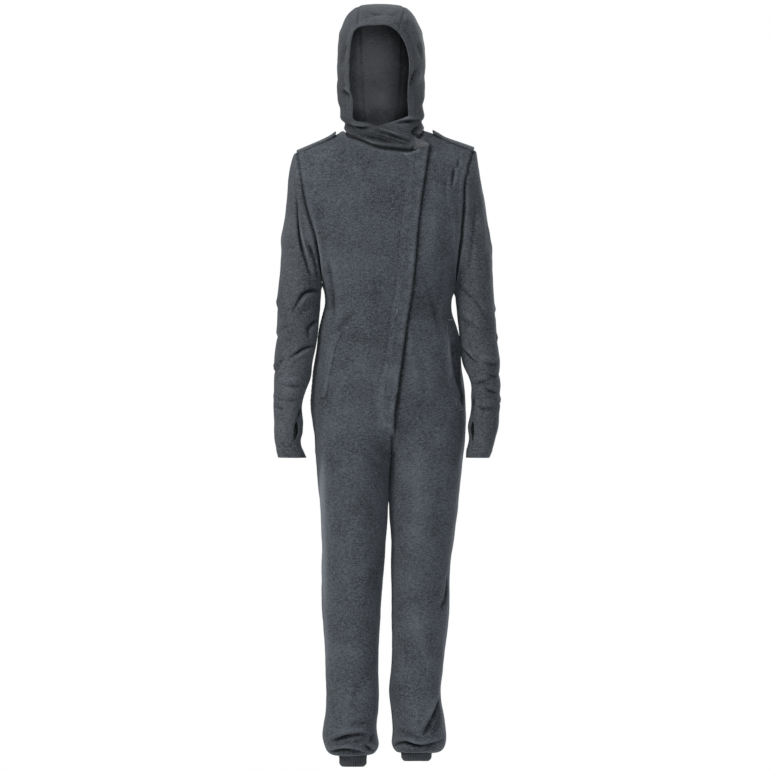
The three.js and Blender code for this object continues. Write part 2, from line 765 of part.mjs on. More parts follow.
// A sleeve starts on the armhole's points and grows into level rings down to the wrist.
function sleeveGrid(side, armhole) {
  const outline = side === 'right' ? RIGHT_SLEEVE : LEFT_SLEEVE
  const half = (armhole.length - 1) / 2
  const tip = side === 'right' ? armhole[0] : armhole[half]
  const pit = side === 'right' ? armhole[half] : armhole[0]
  const flat = (p) => point(p.x, 0, p.z)
  const ends = (outer, inner) => (side === 'right' ? [outer, inner] : [inner, outer])
  const [start, end] = ends(flat(tip), flat(pit))
  const chord = end.clone().sub(start)
  const local = armhole.map((p) => {
    const share = flat(p).sub(start).dot(chord) / chord.lengthSq()
    const off = flat(p).sub(start.clone().addScaledVector(chord, share))
    return { share, off, y: p.y }
  })
  const ring = (outerZ, innerZ, t) => {
    const middle = (outerZ + innerZ) / 2
    const outer = point(outline('outer', outerZ), 0, outerZ)
    const inner = point(outline('inner', innerZ), 0, innerZ)
    const [from, to] = ends(outer, inner)
    const depth = SLEEVE_DEPTH('half', middle)
    const drift = SLEEVE_DEPTH('drift', middle) * ease(t / 0.5)
    const formed = ease(t / 0.55)
    return local.map(({ share, off, y }, n) => {
      const angle = (Math.PI * n) / half
      const even = (1 - Math.cos(angle)) / 2
      const round = -Math.sign(Math.sin(angle)) * depth * Math.abs(Math.sin(angle)) ** 0.92
      const p = between(from, to, mix(share, even, formed)).addScaledVector(off, 1 - formed)
      p.y = mix(y, round, formed) + drift
      return p
    })
  }
  const fan = SLEEVE_FAN.map((t) => ring(mix(tip.z, SLEEVE_LEVEL_Z, t), mix(pit.z, SLEEVE_LEVEL_Z, t), t))
  return [armhole, ...fan, ...SLEEVE_RINGS.map((z) => ring(z, z, 1))]
}
// The thumb hole is one column wide over three rows, opened to a lens by moving the points beside it.
function openThumbHole(grid, column) {
  const first = SLEEVE_FAN.length + 1 + SLEEVE_RINGS.indexOf(THUMB_RINGS[0])
  THUMB_RINGS.forEach((_, n) => {
    const row = grid[first + n]
    const middle = between(row[column], row[column + 1], 0.5)
    const opened = n === 0 || n === THUMB_RINGS.length - 1 ? 0.45 : 1.4
    row[column] = between(middle, row[column], opened)
    row[column + 1] = between(middle, row[column + 1], opened)
  })
  return (i, j) => !(j === column && i >= first && i < first + THUMB_RINGS.length - 1)
}
const pitRow = rowOf(PIT_Z)
const upTo = (grid, column) => grid.slice(0, pitRow + 1).map((row) => row[column])
const rightArmhole = [...upTo(frontOver, 0), ...upTo(backRight, backRight[0].length - 1).reverse().slice(1)]
const leftArmhole = [...upTo(frontLeft, frontLeft[0].length - 1).reverse(), ...upTo(backLeft, 0).slice(1)]
const sleeveRight = sleeveGrid('right', rightArmhole)
const sleeveLeft = sleeveGrid('left', leftArmhole)
addPiece('sleeve_right', sleeveRight, COLOURS.sleeve, { keep: openThumbHole(sleeveRight, 7) })
addPiece('sleeve_left', sleeveLeft, COLOURS.sleeve, { keep: openThumbHole(sleeveLeft, 2) })

// The hood's feet stand on the neck edge, from the face's opening round to the centre panel.
const neckOf = (grid, columns) => columns.map((column) => grid[0][column])
const feet = {
  right: [...neckOf(frontOver, [6, 5, 4]), ...neckOf(backRight, [6, 5, 4, 3, 2])],
  left: [...neckOf(frontLeft, [2, 3, 4]), ...neckOf(backLeft, [7, 8, 9, 10, 11])],
}
function hoopPoint(side, k, width, height) {
  const hoop = HOOPS[k - 1]
  const foot = feet[side][k]
  const x = HOOD_X + (side === 'right' ? -width : width)
  return point(x, mix(foot.y, hoop.y, height), mix(foot.z, hoop.z, height))
}
function hoopColumn(side, k) {
  const hoop = HOOPS[k - 1]
  const foot = feet[side][k]
  const footWidth = Math.abs(foot.x - HOOD_X)
  const seamAngle = Math.acos((hoop.seam / hoop.width) ** (HOOD_POWER / 2))
  const upper = [1, 0.76, 0.5, 0.25, 0].map((t) => {
    const width = hoop.width * Math.cos(seamAngle * t) ** (2 / HOOD_POWER)
    return hoopPoint(side, k, width, mix(HOOD_WIDEST, 1, Math.sin(seamAngle * t) ** (2 / HOOD_POWER)))
  })
  const lower = HOOD_LOW_LEVELS.map((level) => {
    const down = (HOOD_WIDEST - level) / HOOD_WIDEST
    return hoopPoint(side, k, mix(hoop.width, footWidth, down ** 2), level)
  })
  return [...upper, ...lower.slice(0, -1), foot]
}
function hoodSideColumns(side) {
  const opening = [...OPENING[side].map(pointOf), feet[side][0]]
  const hoops = HOOPS.map((_, n) => hoopColumn(side, n + 1))
  const nape = opening.map(() => feet[side][HOOPS.length + 1])
  return [opening, ...hoops, nape]
}
// Columns of the neck wrap: the two lowest rows carry on past the face's opening.
function wrapColumn(top, foot, bulge) {
  const middle = between(top, foot, 0.5).add(point(0, -bulge, 0))
  return [...Array.from({ length: 7 }, () => top), top, middle, foot]
}
const asRows = (columns) => columns[0].map((_, i) => columns.map((column) => column[i]))
const rightColumns = hoodSideColumns('right')
const overFeet = neckOf(frontOver, [7, 8, 9, 10, 11])
const overWrap = OVER_EDGE.map((top, n) => wrapColumn(pointOf(top), overFeet[n], 2))
const leftColumns = hoodSideColumns('left')
const underFeet = [...neckOf(frontLeft, [1, 0]), ...UNDER_FREE.map(pointOf)]
const underWrap = UNDER_EDGE.map((top, n) => wrapColumn(pointOf(top), underFeet[n], 1))
const hoodRight = asRows([...rightColumns.slice().reverse(), ...overWrap])
const hoodLeft = asRows([...underWrap.slice().reverse(), ...leftColumns])
const hoodColumns = rightColumns.length
addPiece('hood_side_right', hoodRight, COLOURS.hood, { keep: (i, j) => j < hoodColumns - 1 || i >= 7 })
addPiece('hood_side_left', hoodLeft, COLOURS.hood, { keep: (i, j) => j >= underWrap.length || i >= 7 })

// The centre panel runs from the forehead over the crown to the nape.
const centreRows = HOOPS.map((hoop, n) => {
  const k = n + 1
  const inner = [-0.5, 0, 0.5].map((share) => {
    const width = Math.abs(share) * hoop.seam
    const height = mix(HOOD_WIDEST, 1, rounded(width / hoop.width, HOOD_POWER))
    return hoopPoint(share < 0 ? 'right' : 'left', k, width, height)
  })
  return [rightColumns[k][0], ...inner, leftColumns[k][0]]
})
const forehead = [rightColumns[0][0], ...FOREHEAD.map(pointOf), leftColumns[0][0]]
const napeRow = [...neckOf(backRight, [2, 1, 0]), ...neckOf(backLeft, [12, 11])]
addPiece('hood_centre', [napeRow, ...centreRows.slice().reverse(), forehead], COLOURS.hood)

// The tab closes the top of the fly, beside the end of the neck wrap.
const tabFeet = neckOf(frontOver, [11, 12, 13, 14])
const tabTops = [pointOf(OVER_EDGE[4]), ...TAB_EDGE.map(pointOf)]
const tabMiddle = tabTops.map((top, n) => between(top, tabFeet[n], 0.5).add(point(0, n ? -1.5 : -2, 0)))
addPiece('fly_top_tab', [tabTops, tabMiddle, tabFeet], COLOURS.tab)

// Where seams cross below the body and under each arm, the cloth faces straight down.
const crossings = [frontOver[rowOf(CROTCH_Z)][14], rightArmhole[pitRow], leftArmhole[0]]
for (const crossing of crossings) seamNormals.get(keyOf(crossing)).set(0, 0, -1)

const jumpsuit = new THREE.Group()
jumpsuit.name = 'jumpsuit'
for (const piece of pieces) jumpsuit.add(wallMesh(piece))

export default jumpsuit
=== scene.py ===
"""The looks of a hooded fleece onesie, in the shape it has when worn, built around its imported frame.
Metres, +Z up, -Y out of the front, -X to the wearer's right."""
import math

import bmesh
import bpy
import numpy as np
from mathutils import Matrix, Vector, noise
from mathutils.bvhtree import BVHTree
from mathutils.kdtree import KDTree


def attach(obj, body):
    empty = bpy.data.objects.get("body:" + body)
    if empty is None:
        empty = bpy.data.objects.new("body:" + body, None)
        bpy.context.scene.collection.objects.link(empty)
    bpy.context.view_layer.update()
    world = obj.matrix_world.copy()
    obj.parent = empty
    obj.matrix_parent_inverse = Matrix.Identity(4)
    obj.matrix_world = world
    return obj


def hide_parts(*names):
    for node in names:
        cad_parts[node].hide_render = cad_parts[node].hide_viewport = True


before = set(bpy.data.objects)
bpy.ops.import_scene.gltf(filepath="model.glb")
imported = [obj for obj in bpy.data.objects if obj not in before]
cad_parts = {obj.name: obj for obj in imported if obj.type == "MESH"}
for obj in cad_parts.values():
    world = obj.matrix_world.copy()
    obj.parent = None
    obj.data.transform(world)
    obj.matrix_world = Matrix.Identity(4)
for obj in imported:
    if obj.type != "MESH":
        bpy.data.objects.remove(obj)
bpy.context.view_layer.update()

MM = 0.001

# The studio: a round pale floor below the ankle cuffs, in a surround that looks white but lights
# gently. The camera stands far off with a long lens. Soft lights stand high to its left, beside it to
# look into the hood, overhead, and behind the garment.
PIXEL = 2.23 * MM
VIEW_SIZE = 770 * PIXEL
VIEW_X = -4.5 * MM
VIEW_Z = -555 * MM
CAMERA_DISTANCE = 12.0
SENSOR = 36.0
FLOOR_Z = -1.49
FLOOR_RADIUS = 1.15
SURROUND_LIGHT = 0.42


def linear(code):
    """The linear colour of an sRGB hex value such as "44474d"."""
    parts = [int(code[n:n + 2], 16) / 255 for n in (0, 2, 4)]
    return [c / 12.92 if c <= 0.04045 else ((c + 0.055) / 1.055) ** 2.4 for c in parts] + [1.0]


def add_node(tree, kind, inputs=(), **settings):
    """Adds a node. inputs gives sockets a value or another node's output, settings are its own."""
    made = tree.nodes.new(kind)
    for name, value in settings.items():
        setattr(made, name, value)
    for socket, value in dict(inputs).items():
        if isinstance(value, bpy.types.NodeSocket):
            tree.links.new(value, made.inputs[socket])
        else:
            made.inputs[socket].default_value = value
    return made


def new_material(name):
    """An empty node material with its output node."""
    material = bpy.data.materials.new(name)
    material.use_nodes = True
    material.node_tree.nodes.clear()
    return material, material.node_tree, add_node(material.node_tree, "ShaderNodeOutputMaterial")


def add_object(name, mesh):
    """Links a mesh into the scene as a new object."""
    made = bpy.data.objects.new(name, mesh)
    bpy.context.scene.collection.objects.link(made)
    return made


camera_data = bpy.data.cameras.new("studio_camera")
camera_data.sensor_width = SENSOR
camera_data.lens = SENSOR * CAMERA_DISTANCE / VIEW_SIZE
camera_data.clip_end = 60
camera = add_object("studio_camera", camera_data)
camera.location = (VIEW_X, -CAMERA_DISTANCE, VIEW_Z)
camera.rotation_euler = (math.pi / 2, 0, 0)
bpy.context.scene.camera = camera
bpy.context.scene.view_settings.view_transform = "Standard"

for name, place, size, power, tint in (
    ("key_light", (-3.1, -2.3, 1.5), 1.5, 112, "fffdf8"),
    ("fill_light", (0.8, -5.2, 0.1), 1.8, 76, "fafcff"),
    ("top_light", (-0.2, 0.3, 2.6), 1.3, 32, "ffffff"),
    ("back_light", (1.7, 3.2, 0.7), 1.6, 78, "fafcff"),
):
    light_data = bpy.data.lights.new(name, "AREA")
    light_data.shape = "DISK"
    light_data.size = size
    light_data.energy = power
    light_data.color = linear(tint)[:3]
    light = add_object(name, light_data)
    light.location = place
    aim = Vector((0, 0, -0.55)) - light.location
    light.rotation_euler = aim.to_track_quat("-Z", "Y").to_euler()

world = bpy.data.worlds.new("white_surround")
bpy.context.scene.world = world
world.use_nodes = True
world.node_tree.nodes.clear()
world_output = add_node(world.node_tree, "ShaderNodeOutputWorld")
seen = add_node(world.node_tree, "ShaderNodeLightPath")
strength = add_node(world.node_tree, "ShaderNodeMapRange", {
    "Value": seen.outputs["Is Camera Ray"], "To Min": SURROUND_LIGHT, "To Max": 1.0})
surround = add_node(world.node_tree, "ShaderNodeBackground", {
    "Color": linear("ffffff"), "Strength": strength.outputs[0]})
world.node_tree.links.new(surround.outputs[0], world_output.inputs[0])

floor_sheet = bmesh.new()
bmesh.ops.create_circle(floor_sheet, cap_ends=True, radius=FLOOR_RADIUS, segments=96)
floor_mesh = bpy.data.meshes.new("studio_floor")
floor_sheet.to_mesh(floor_mesh)
floor_sheet.free()
studio_floor = add_object("studio_floor", floor_mesh)
studio_floor.location = (0, 0, FLOOR_Z)
painted_board, tree, output = new_material("painted_board")
paint = add_node(tree, "ShaderNodeBsdfPrincipled", {"Base Color": linear("f4f4f3"), "Roughness": 0.85})
tree.links.new(paint.outputs[0], output.inputs[0])
floor_mesh.materials.append(painted_board)

# The sewn cloth. Each piece is cut from brushed fleece and joined to its neighbours by an overlocked
# seam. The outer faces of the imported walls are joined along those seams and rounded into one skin,
# so that neighbours meet exactly; the sections below take their own pieces of it.
PANELS = ("front_right", "front_left", "back_right", "back_left")
CUT_PIECES = {panel: [panel + end for end in ("_upper", "_hip", "_leg")] for panel in PANELS}
for name in ("sleeve_right", "sleeve_left", "hood_side_right", "hood_side_left", "hood_centre"):
    CUT_PIECES[name] = [name]
THIN = 2.8 * MM  # a face of a wall's cut edge has a side shorter than this
THIN_DOUBLED = 3.3 * MM  # or than this, on the small pieces of doubled cloth
STEPPED = ("front_right_upper", "front_right_hip", "fly_top_tab")  # these have steps as small as that,
RIM_ANGLE = 0.65  # and their cut edges are the ones that turn by more than this
SEAM_REACH = 0.6 * MM
SEWN_REACH = 3.0 * MM
ROUNDING_PASSES = 3
CLOTH = 2.4 * MM
SWELLS = ((110 * MM, 3.0 * MM), (42 * MM, 1.1 * MM), (19 * MM, 0.45 * MM))  # slack: length, height


def outer_sheet(node):
    """The outer face of a packed wall, without its cut edge: of the sheets of faces that are left, the
    one that looks most away from the body's axis."""
    sheet = bmesh.new()
    sheet.from_mesh(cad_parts[node].data)
    bmesh.ops.remove_doubles(sheet, verts=sheet.verts, dist=0.002 * MM)
    in_panel = any(node in nodes for nodes in CUT_PIECES.values())
    thin = THIN if in_panel else THIN_DOUBLED
    short = {face for face in sheet.faces if min(edge.calc_length() for edge in face.edges) < thin}
    unseen = set(sheet.faces) if node in STEPPED else set(sheet.faces) - short
    outermost = (0, [])
    while unseen:
        island = [unseen.pop()]
        for face in island:
            for edge in face.edges:
                for other in edge.link_faces:
                    sharp = edge.calc_face_angle() > RIM_ANGLE
                    if other in unseen and not (sharp and (face in short or other in short)):
                        unseen.discard(other)
                        island.append(other)
        outward = 0
        for face in island:
            middle = face.calc_center_median()
            outward += face.calc_area() * face.normal.dot(Vector((middle.x, middle.y, 30 * MM)))
        outermost = max(outermost, (outward, island), key=lambda item: item[0])
    kept = set(outermost[1])
    bmesh.ops.delete(sheet, geom=[face for face in sheet.faces if face not in kept], context="FACES")
    return sheet


def points_of(mesh):
    """A mesh's points as rows of three numbers."""
    flat = np.empty(len(mesh.vertices) * 3)
    mesh.vertices.foreach_get("co", flat)
    return flat.reshape(-1, 3)


def near_tree(points):
    """A tree that finds the nearest of some points."""
    made = KDTree(len(points))
    for n, point in enumerate(points):
        made.insert(point, n)
    made.balance()
    return made


def meet_at_seams(joined):
    """Moves the rim points of two pieces that face each other across a seam to the same place."""
    rims = {}
    for point in joined.verts:
        if point.is_boundary:
            rims.setdefault(point.link_faces[0].material_index, []).append(point)
    trees = {piece: near_tree([point.co for point in points]) for piece, points in rims.items()}
    meeting = []
    for piece, points in rims.items():
        for place, point in enumerate(points):
            for other, other_tree in trees.items():
                if other <= piece:
                    continue
                _, there, gap = other_tree.find(point.co)
                partner = rims[other][there]
                if SEAM_REACH / 2 < gap < SEWN_REACH and trees[piece].find(partner.co)[1] == place:
                    meeting.append((point, partner, (point.co + partner.co) / 2))
    for point, partner, middle in meeting:
        point.co = middle
        partner.co = middle


def sewn_skin(pieces, levels, kind="CATMULL_CLARK"):
    """Joins the outer sheets of the named pieces and rounds them into a fine mesh. Rounding draws the
    surface in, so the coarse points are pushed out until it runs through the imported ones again."""
    joined = bmesh.new()
    for number, nodes in enumerate(pieces.values()):
        for node in nodes:
            sheet = outer_sheet(node)
            part = bpy.data.meshes.new("part")
            sheet.to_mesh(part)
            sheet.free()
            before = len(joined.faces)
            joined.from_mesh(part)
            bpy.data.meshes.remove(part)
            joined.faces.ensure_lookup_table()
            for face in joined.faces[before:]:
                face.material_index = number
                face.smooth = True
    meet_at_seams(joined)
    edge_points = [v for v in joined.verts if v.is_boundary]
    bmesh.ops.remove_doubles(joined, verts=edge_points, dist=SEAM_REACH)
    bmesh.ops.join_triangles(
        joined, faces=joined.faces, cmp_materials=True, angle_face_threshold=0.9, angle_shape_threshold=1.2)
    coarse = bpy.data.meshes.new("coarse")
    joined.to_mesh(coarse)
    joined.free()
    holder = add_object("holder", coarse)
    rounding = holder.modifiers.new("rounding", "SUBSURF")
    rounding.levels = levels
    rounding.subdivision_type = kind
    rounding.boundary_smooth = "PRESERVE_CORNERS"
    measured = points_of(coarse)
    cage = measured.copy()
    for _ in range(ROUNDING_PASSES):
        fine = bpy.data.meshes.new_from_object(holder.evaluated_get(bpy.context.evaluated_depsgraph_get()))
        cage += measured - points_of(fine)[:len(measured)]
        coarse.vertices.foreach_set("co", cage.ravel())
        coarse.update()
        bpy.data.meshes.remove(fine)
    fine = bpy.data.meshes.new_from_object(holder.evaluated_get(bpy.context.evaluated_depsgraph_get()))
    bpy.data.objects.remove(holder)
    return fine


def border_of(quads):
    """A piece's outline: its edges that only one quad uses, in that quad's order."""
    sides = np.concatenate([quads[:, [n, (n + 1) % 4]] for n in range(4)])
    keys = np.sort(sides, axis=1)
    _, first, times = np.unique(keys, axis=0, return_index=True, return_counts=True)
    return sides[first[times == 1]]


class Cloth:
    """One cut piece as arrays: its points, their outward directions, its quads, and the shading painted
    on it: above 0 a painted highlight, below 0 painted shade, with some uneven tone besides."""

    def __init__(self, skin, number):
        out = np.empty(len(skin.vertices) * 3)
        skin.vertex_normals.foreach_get("vector", out)
        which = np.empty(len(skin.polygons), np.int32)
        skin.polygons.foreach_get("material_index", which)
        corners = np.empty(len(skin.loops), np.int32)
        skin.loops.foreach_get("vertex_index", corners)
        own = corners.reshape(-1, 4)[which == number]
        used, renumbered = np.unique(own, return_inverse=True)
        self.points = points_of(skin)[used]
        self.out = out.reshape(-1, 3)[used]
        self.quads = renumbered.reshape(-1, 4)
        self.painted_shading_and_tone = np.zeros(len(self.points))
        self.edges = border_of(self.quads)
        self.rim = np.unique(self.edges)
        self.hem = self.rim
        self.seams = {}
        self.from_seam = self.reach([])

    def sew(self, others):
        """Finds the seams: the rim points that lie on the rim of another piece. The rest is hem."""
        for name, other in others.items():
            if other is self:
                continue
            theirs = near_tree(other.points[other.rim])
            joined = [n for n in self.rim if theirs.find(self.points[n])[2] < SEWN_REACH / 2]
            if joined:
                self.seams[name] = joined
        sewn = sorted({n for joined in self.seams.values() for n in joined})
        self.hem = np.setdiff1d(self.rim, sewn)
        self.from_seam = self.reach(sewn)

    def reach(self, numbers):
        """Each point's distance to the nearest of the numbered points, up to 60 mm."""
        if not len(numbers):
            return np.full(len(self.points), 60 * MM)
        nearest = near_tree(self.points[numbers])
        return np.array([min(60 * MM, nearest.find(p)[2]) for p in self.points])

    def from_hem(self):
        """Each point's distance to the piece's free edges."""
        return self.reach(self.hem)

    def move(self, distance):
        """Moves the points outward by the distances given."""
        self.points = self.points + self.out * np.asarray(distance)[:, None]


def slack(skin):
    """Lays the slow uneven waves of loose cloth over a whole skin, the same at every seam."""
    points = points_of(skin)
    out = np.empty(len(skin.vertices) * 3)
    skin.vertex_normals.foreach_get("vector", out)
    waves = np.zeros(len(points))
    for length, height in SWELLS:
        waves += [height * noise.noise(Vector(p) / length) for p in points]
    skin.vertices.foreach_set("co", (points + out.reshape(-1, 3) * waves[:, None]).ravel())
    skin.update()


def seam_dip(cloth, depth=1.0 * MM, half=3.0 * MM, beside=None, painted_shade=0.22, pull=1.0):
    """Pulls the cloth in along its seams, or those with the pieces named, as the thread does, with a low
    roll beside them, and paints shade into the seam line and a faint highlight on the roll. pull is how
    hard it draws and paints, for all points or for each."""
    if beside:
        d = cloth.reach(sorted({n for name in beside for n in cloth.seams.get(name, [])}))
    else:
        d = cloth.from_seam
    line = pull * np.exp(-((d / half) ** 2))
    roll = pull * np.exp(-(((d - 2.6 * half) / (1.3 * half)) ** 2))
    cloth.move(0.45 * depth * roll - depth * line)
    cloth.painted_shading_and_tone += 0.3 * painted_shade * roll - painted_shade * line


def cloth_mesh(name, cloth, thickness=CLOTH, inner_shading_and_tone=None):
    """Closes a cloth into a thin shell: outer face, inner face, and a soft rounded rim. The painted
    shading of the inner face is the outer one's unless it is given."""
    count = len(cloth.points)
    edge_from, edge_to = cloth.edges[:, 0], cloth.edges[:, 1]
    outward = np.zeros((count, 3))
    along = cloth.points[edge_to] - cloth.points[edge_from]
    beside = np.cross(along, cloth.out[edge_from])
    for ends in (edge_from, edge_to):
        np.add.at(outward, ends, beside)
    rim = cloth.rim
    outward = outward[rim] / np.maximum(np.linalg.norm(outward[rim], axis=1), 1e-12)[:, None]
    free = np.isin(rim, cloth.hem)[:, None]
    middle = cloth.points[rim] - cloth.out[rim] * thickness / 2 + outward * thickness * 0.35 * free
    number = np.full(count, -1)
    number[rim] = 2 * count + np.arange(len(rim))
    inner = cloth.points - cloth.out * thickness
    outer_rim = np.stack([edge_to, edge_from, number[edge_from], number[edge_to]], axis=1)
    inner_rim = np.stack([number[edge_to], number[edge_from], edge_from + count, edge_to + count], axis=1)
    quads = np.concatenate([cloth.quads, outer_rim, cloth.quads[:, ::-1] + count, inner_rim])
    mesh = bpy.data.meshes.new(name)
    mesh.from_pydata(np.concatenate([cloth.points, inner, middle]).tolist(), [], quads.tolist())
    mesh.polygons.foreach_set("use_smooth", np.ones(len(quads), bool))
    inside = np.arange(len(quads)) >= len(cloth.quads) + len(outer_rim)
    mesh.polygons.foreach_set("material_index", inside.astype(np.int32))
    # The painted shade and highlights go to the shader as a per-point attribute.
    painted_shading_and_tone = mesh.attributes.new("painted_shading_and_tone", "FLOAT", "POINT")
    inner_shading_and_tone = cloth.painted_shading_and_tone if inner_shading_and_tone is None else inner_shading_and_tone
    painted_shading_and_tone.data.foreach_set("value", np.concatenate([cloth.painted_shading_and_tone, inner_shading_and_tone, cloth.painted_shading_and_tone[rim]]))
    return mesh


def small_cloth(name, levels, kind="CATMULL_CLARK"):
    """The rounded outer face of a small piece, which is a node of its own."""
    return Cloth(sewn_skin({name: [name]}, levels, kind), 0)


FINE = 3
PLAIN = 2
numbers = {name: number for number, name in enumerate(CUT_PIECES)}
cloths = {}
for levels, skin in {levels: sewn_skin(CUT_PIECES, levels) for levels in (PLAIN, FINE)}.items():
    slack(skin)
    for name, number in numbers.items():
        if name.startswith("back") == (levels == PLAIN):
            cloths[name] = Cloth(skin, number)
for cloth in cloths.values():
    cloth.sew(cloths)

# Brushed fleece, knitted from marled yarn in two greys and raised to a short pile. The eye sees a soft
# mottle with pale flecks, faint level knit lines and cloudy patches. Over that, a painted shading
# attribute paints highlights toward a pale colour and shade in creases and seams toward near black.
# Real loops are under 1 mm; they are drawn at 3 mm to show.
MARL = 3.2 * MM
FLECK = 2.6 * MM
FIBRE = 0.7 * MM
KNIT_LINE = 2.6 * MM
PILE_CLOUD = 62 * MM
NAP = 1.6 * MM


def fleece(name, dark, light, sheen_and_highlight, mottle=1.0):
    """Brushed fleece between two yarn colours; the third colour is its sheen tint and the colour of its
    painted highlights.
    """
    material, tree, output = new_material(name)
    place = add_node(tree, "ShaderNodeTexCoord").outputs["Object"]
    marl = add_node(tree, "ShaderNodeTexNoise", {
        "Vector": place, "Scale": 1 / MARL, "Detail": 2.5, "Roughness": 0.6})
    fleck = add_node(tree, "ShaderNodeTexNoise", {"Vector": place, "Scale": 1 / FLECK, "Detail": 1.0})
    flecks = add_node(tree, "ShaderNodeMapRange", {
        "Value": fleck.outputs[0], "From Min": 0.53, "From Max": 0.8, "To Min": 0.0, "To Max": 0.95 * mottle})
    lines_place = add_node(tree, "ShaderNodeMapping", {
        "Vector": place, "Scale": (1 / (3 * KNIT_LINE), 1 / (3 * KNIT_LINE), 1 / KNIT_LINE)})
    lines = add_node(tree, "ShaderNodeTexNoise", {
        "Vector": lines_place.outputs[0], "Scale": 1.0, "Detail": 1.5})
    cloud = add_node(tree, "ShaderNodeTexNoise", {"Vector": place, "Scale": 1 / PILE_CLOUD, "Detail": 3.0})
    nap = add_node(tree, "ShaderNodeTexNoise", {"Vector": place, "Scale": 1 / NAP, "Detail": 1.0})
    painted_shading_and_tone = add_node(tree, "ShaderNodeAttribute", attribute_name="painted_shading_and_tone").outputs["Fac"]
    yarns = add_node(tree, "ShaderNodeMath", {
        0: marl.outputs[0], 1: 1.1 * mottle, 2: -0.55 * mottle}, operation="MULTIPLY_ADD")
    knitted = add_node(tree, "ShaderNodeMath", {
        0: lines.outputs[0], 1: 1.1 * mottle, 2: -0.55 * mottle}, operation="MULTIPLY_ADD")
    clouded = add_node(tree, "ShaderNodeMath", {
        0: cloud.outputs[0], 1: 0.85, 2: -0.425}, operation="MULTIPLY_ADD")
    lined = add_node(tree, "ShaderNodeMath", {0: yarns.outputs[0], 1: knitted.outputs[0]}, operation="ADD")
    flecked = add_node(tree, "ShaderNodeMath", {0: lined.outputs[0], 1: flecks.outputs[0]}, operation="ADD")
    fibres = add_node(tree, "ShaderNodeTexNoise", {"Vector": place, "Scale": 1 / FIBRE, "Detail": 2.0})
    fuzzed = add_node(tree, "ShaderNodeMath", {
        0: fibres.outputs[0], 1: 0.9, 2: flecked.outputs[0]}, operation="MULTIPLY_ADD")
    # The painted shading also moves the yarn mix paler or darker.
    clouded_and_shaded = add_node(tree, "ShaderNodeMath", {
        0: painted_shading_and_tone, 1: 0.9, 2: clouded.outputs[0]}, operation="MULTIPLY_ADD")
    shade = add_node(tree, "ShaderNodeMath", {
        0: fuzzed.outputs[0], 1: clouded_and_shaded.outputs[0]}, operation="ADD", use_clamp=True)
    yarn_colour = add_node(tree, "ShaderNodeMix", {
        0: shade.outputs[0], 6: linear(dark), 7: linear(light)}, data_type="RGBA")
    # Painted shade: below 0 the painted shading mixes the colour toward near black. Painted highlight: above
    # 0.3 it mixes it toward the pale third colour.
    painted_shade = add_node(tree, "ShaderNodeMapRange", {
        "Value": painted_shading_and_tone, "From Min": -0.9, "From Max": -0.1, "To Min": 0.62, "To Max": 0.0})
    highlight_share = add_node(tree, "ShaderNodeMapRange", {
        "Value": painted_shading_and_tone, "From Min": 0.3, "From Max": 1.2, "To Min": 0.0, "To Max": 0.6})
    highlighted = add_node(tree, "ShaderNodeMix", {
        0: highlight_share.outputs[0], 6: yarn_colour.outputs[2], 7: linear(sheen_and_highlight)}, data_type="RGBA")
    colour = add_node(tree, "ShaderNodeMix", {
        0: painted_shade.outputs[0], 6: highlighted.outputs[2], 7: linear("0d0e10")}, data_type="RGBA")
    rough = add_node(tree, "ShaderNodeMapRange", {
        "Value": cloud.outputs[0], "From Min": 0.3, "From Max": 0.7, "To Min": 0.86, "To Max": 0.97})
    raised = add_node(tree, "ShaderNodeBump", {
        "Height": marl.outputs[0], "Strength": 0.5, "Distance": 1.1 * MM})
    furry = add_node(tree, "ShaderNodeBump", {
        "Height": nap.outputs[0], "Strength": 0.6, "Distance": 0.6 * MM, "Normal": raised.outputs[0]})
    cloth = add_node(tree, "ShaderNodeBsdfPrincipled", {
        "Base Color": colour.outputs[2], "Roughness": rough.outputs[0], "Normal": furry.outputs[0],
        "Specular IOR Level": 0.15, "Sheen Weight": 0.3, "Sheen Roughness": 0.45,
        "Sheen Tint": linear(sheen_and_highlight)})
    tree.links.new(cloth.outputs[0], output.inputs[0])
    return material


# The folds. A row gives a fold's points in mm as they are seen from one side of the garment, its
# half-width and depth in mm, and the share of the depth that stands up as a lip on its left side,
# or on its right side where that is below 0. A depth below 0 makes a soft ridge. Each fold also gets
# painted shade in its trough and a painted highlight on its lip; a soft ridge gets a painted highlight.
VIEWS = {"front": ((0, -1, 0), 0), "back": ((0, 1, 0), 0), "right": ((-1, 0, 0), 1), "left": ((1, 0, 0), 1)}
CREASE_SHADE = 0.13 / MM  # how dark a fold gets for each depth of it, where it is narrow
NARROW = 5.5 * MM  # the half-width of a narrow fold
RIDGE_HIGHLIGHT = 0.09 / MM  # how pale a ridge gets for each height of it


def soft_route(points):
    """Rounds a short row of points into a soft curve that keeps its ends."""
    route = np.array(points, float)
    for _ in range(3):
        cut = [route[0]]
        for a, b in zip(route[:-1], route[1:]):
            cut += [0.75 * a + 0.25 * b, 0.25 * a + 0.75 * b]
        route = np.array(cut + [route[-1]])
    return route


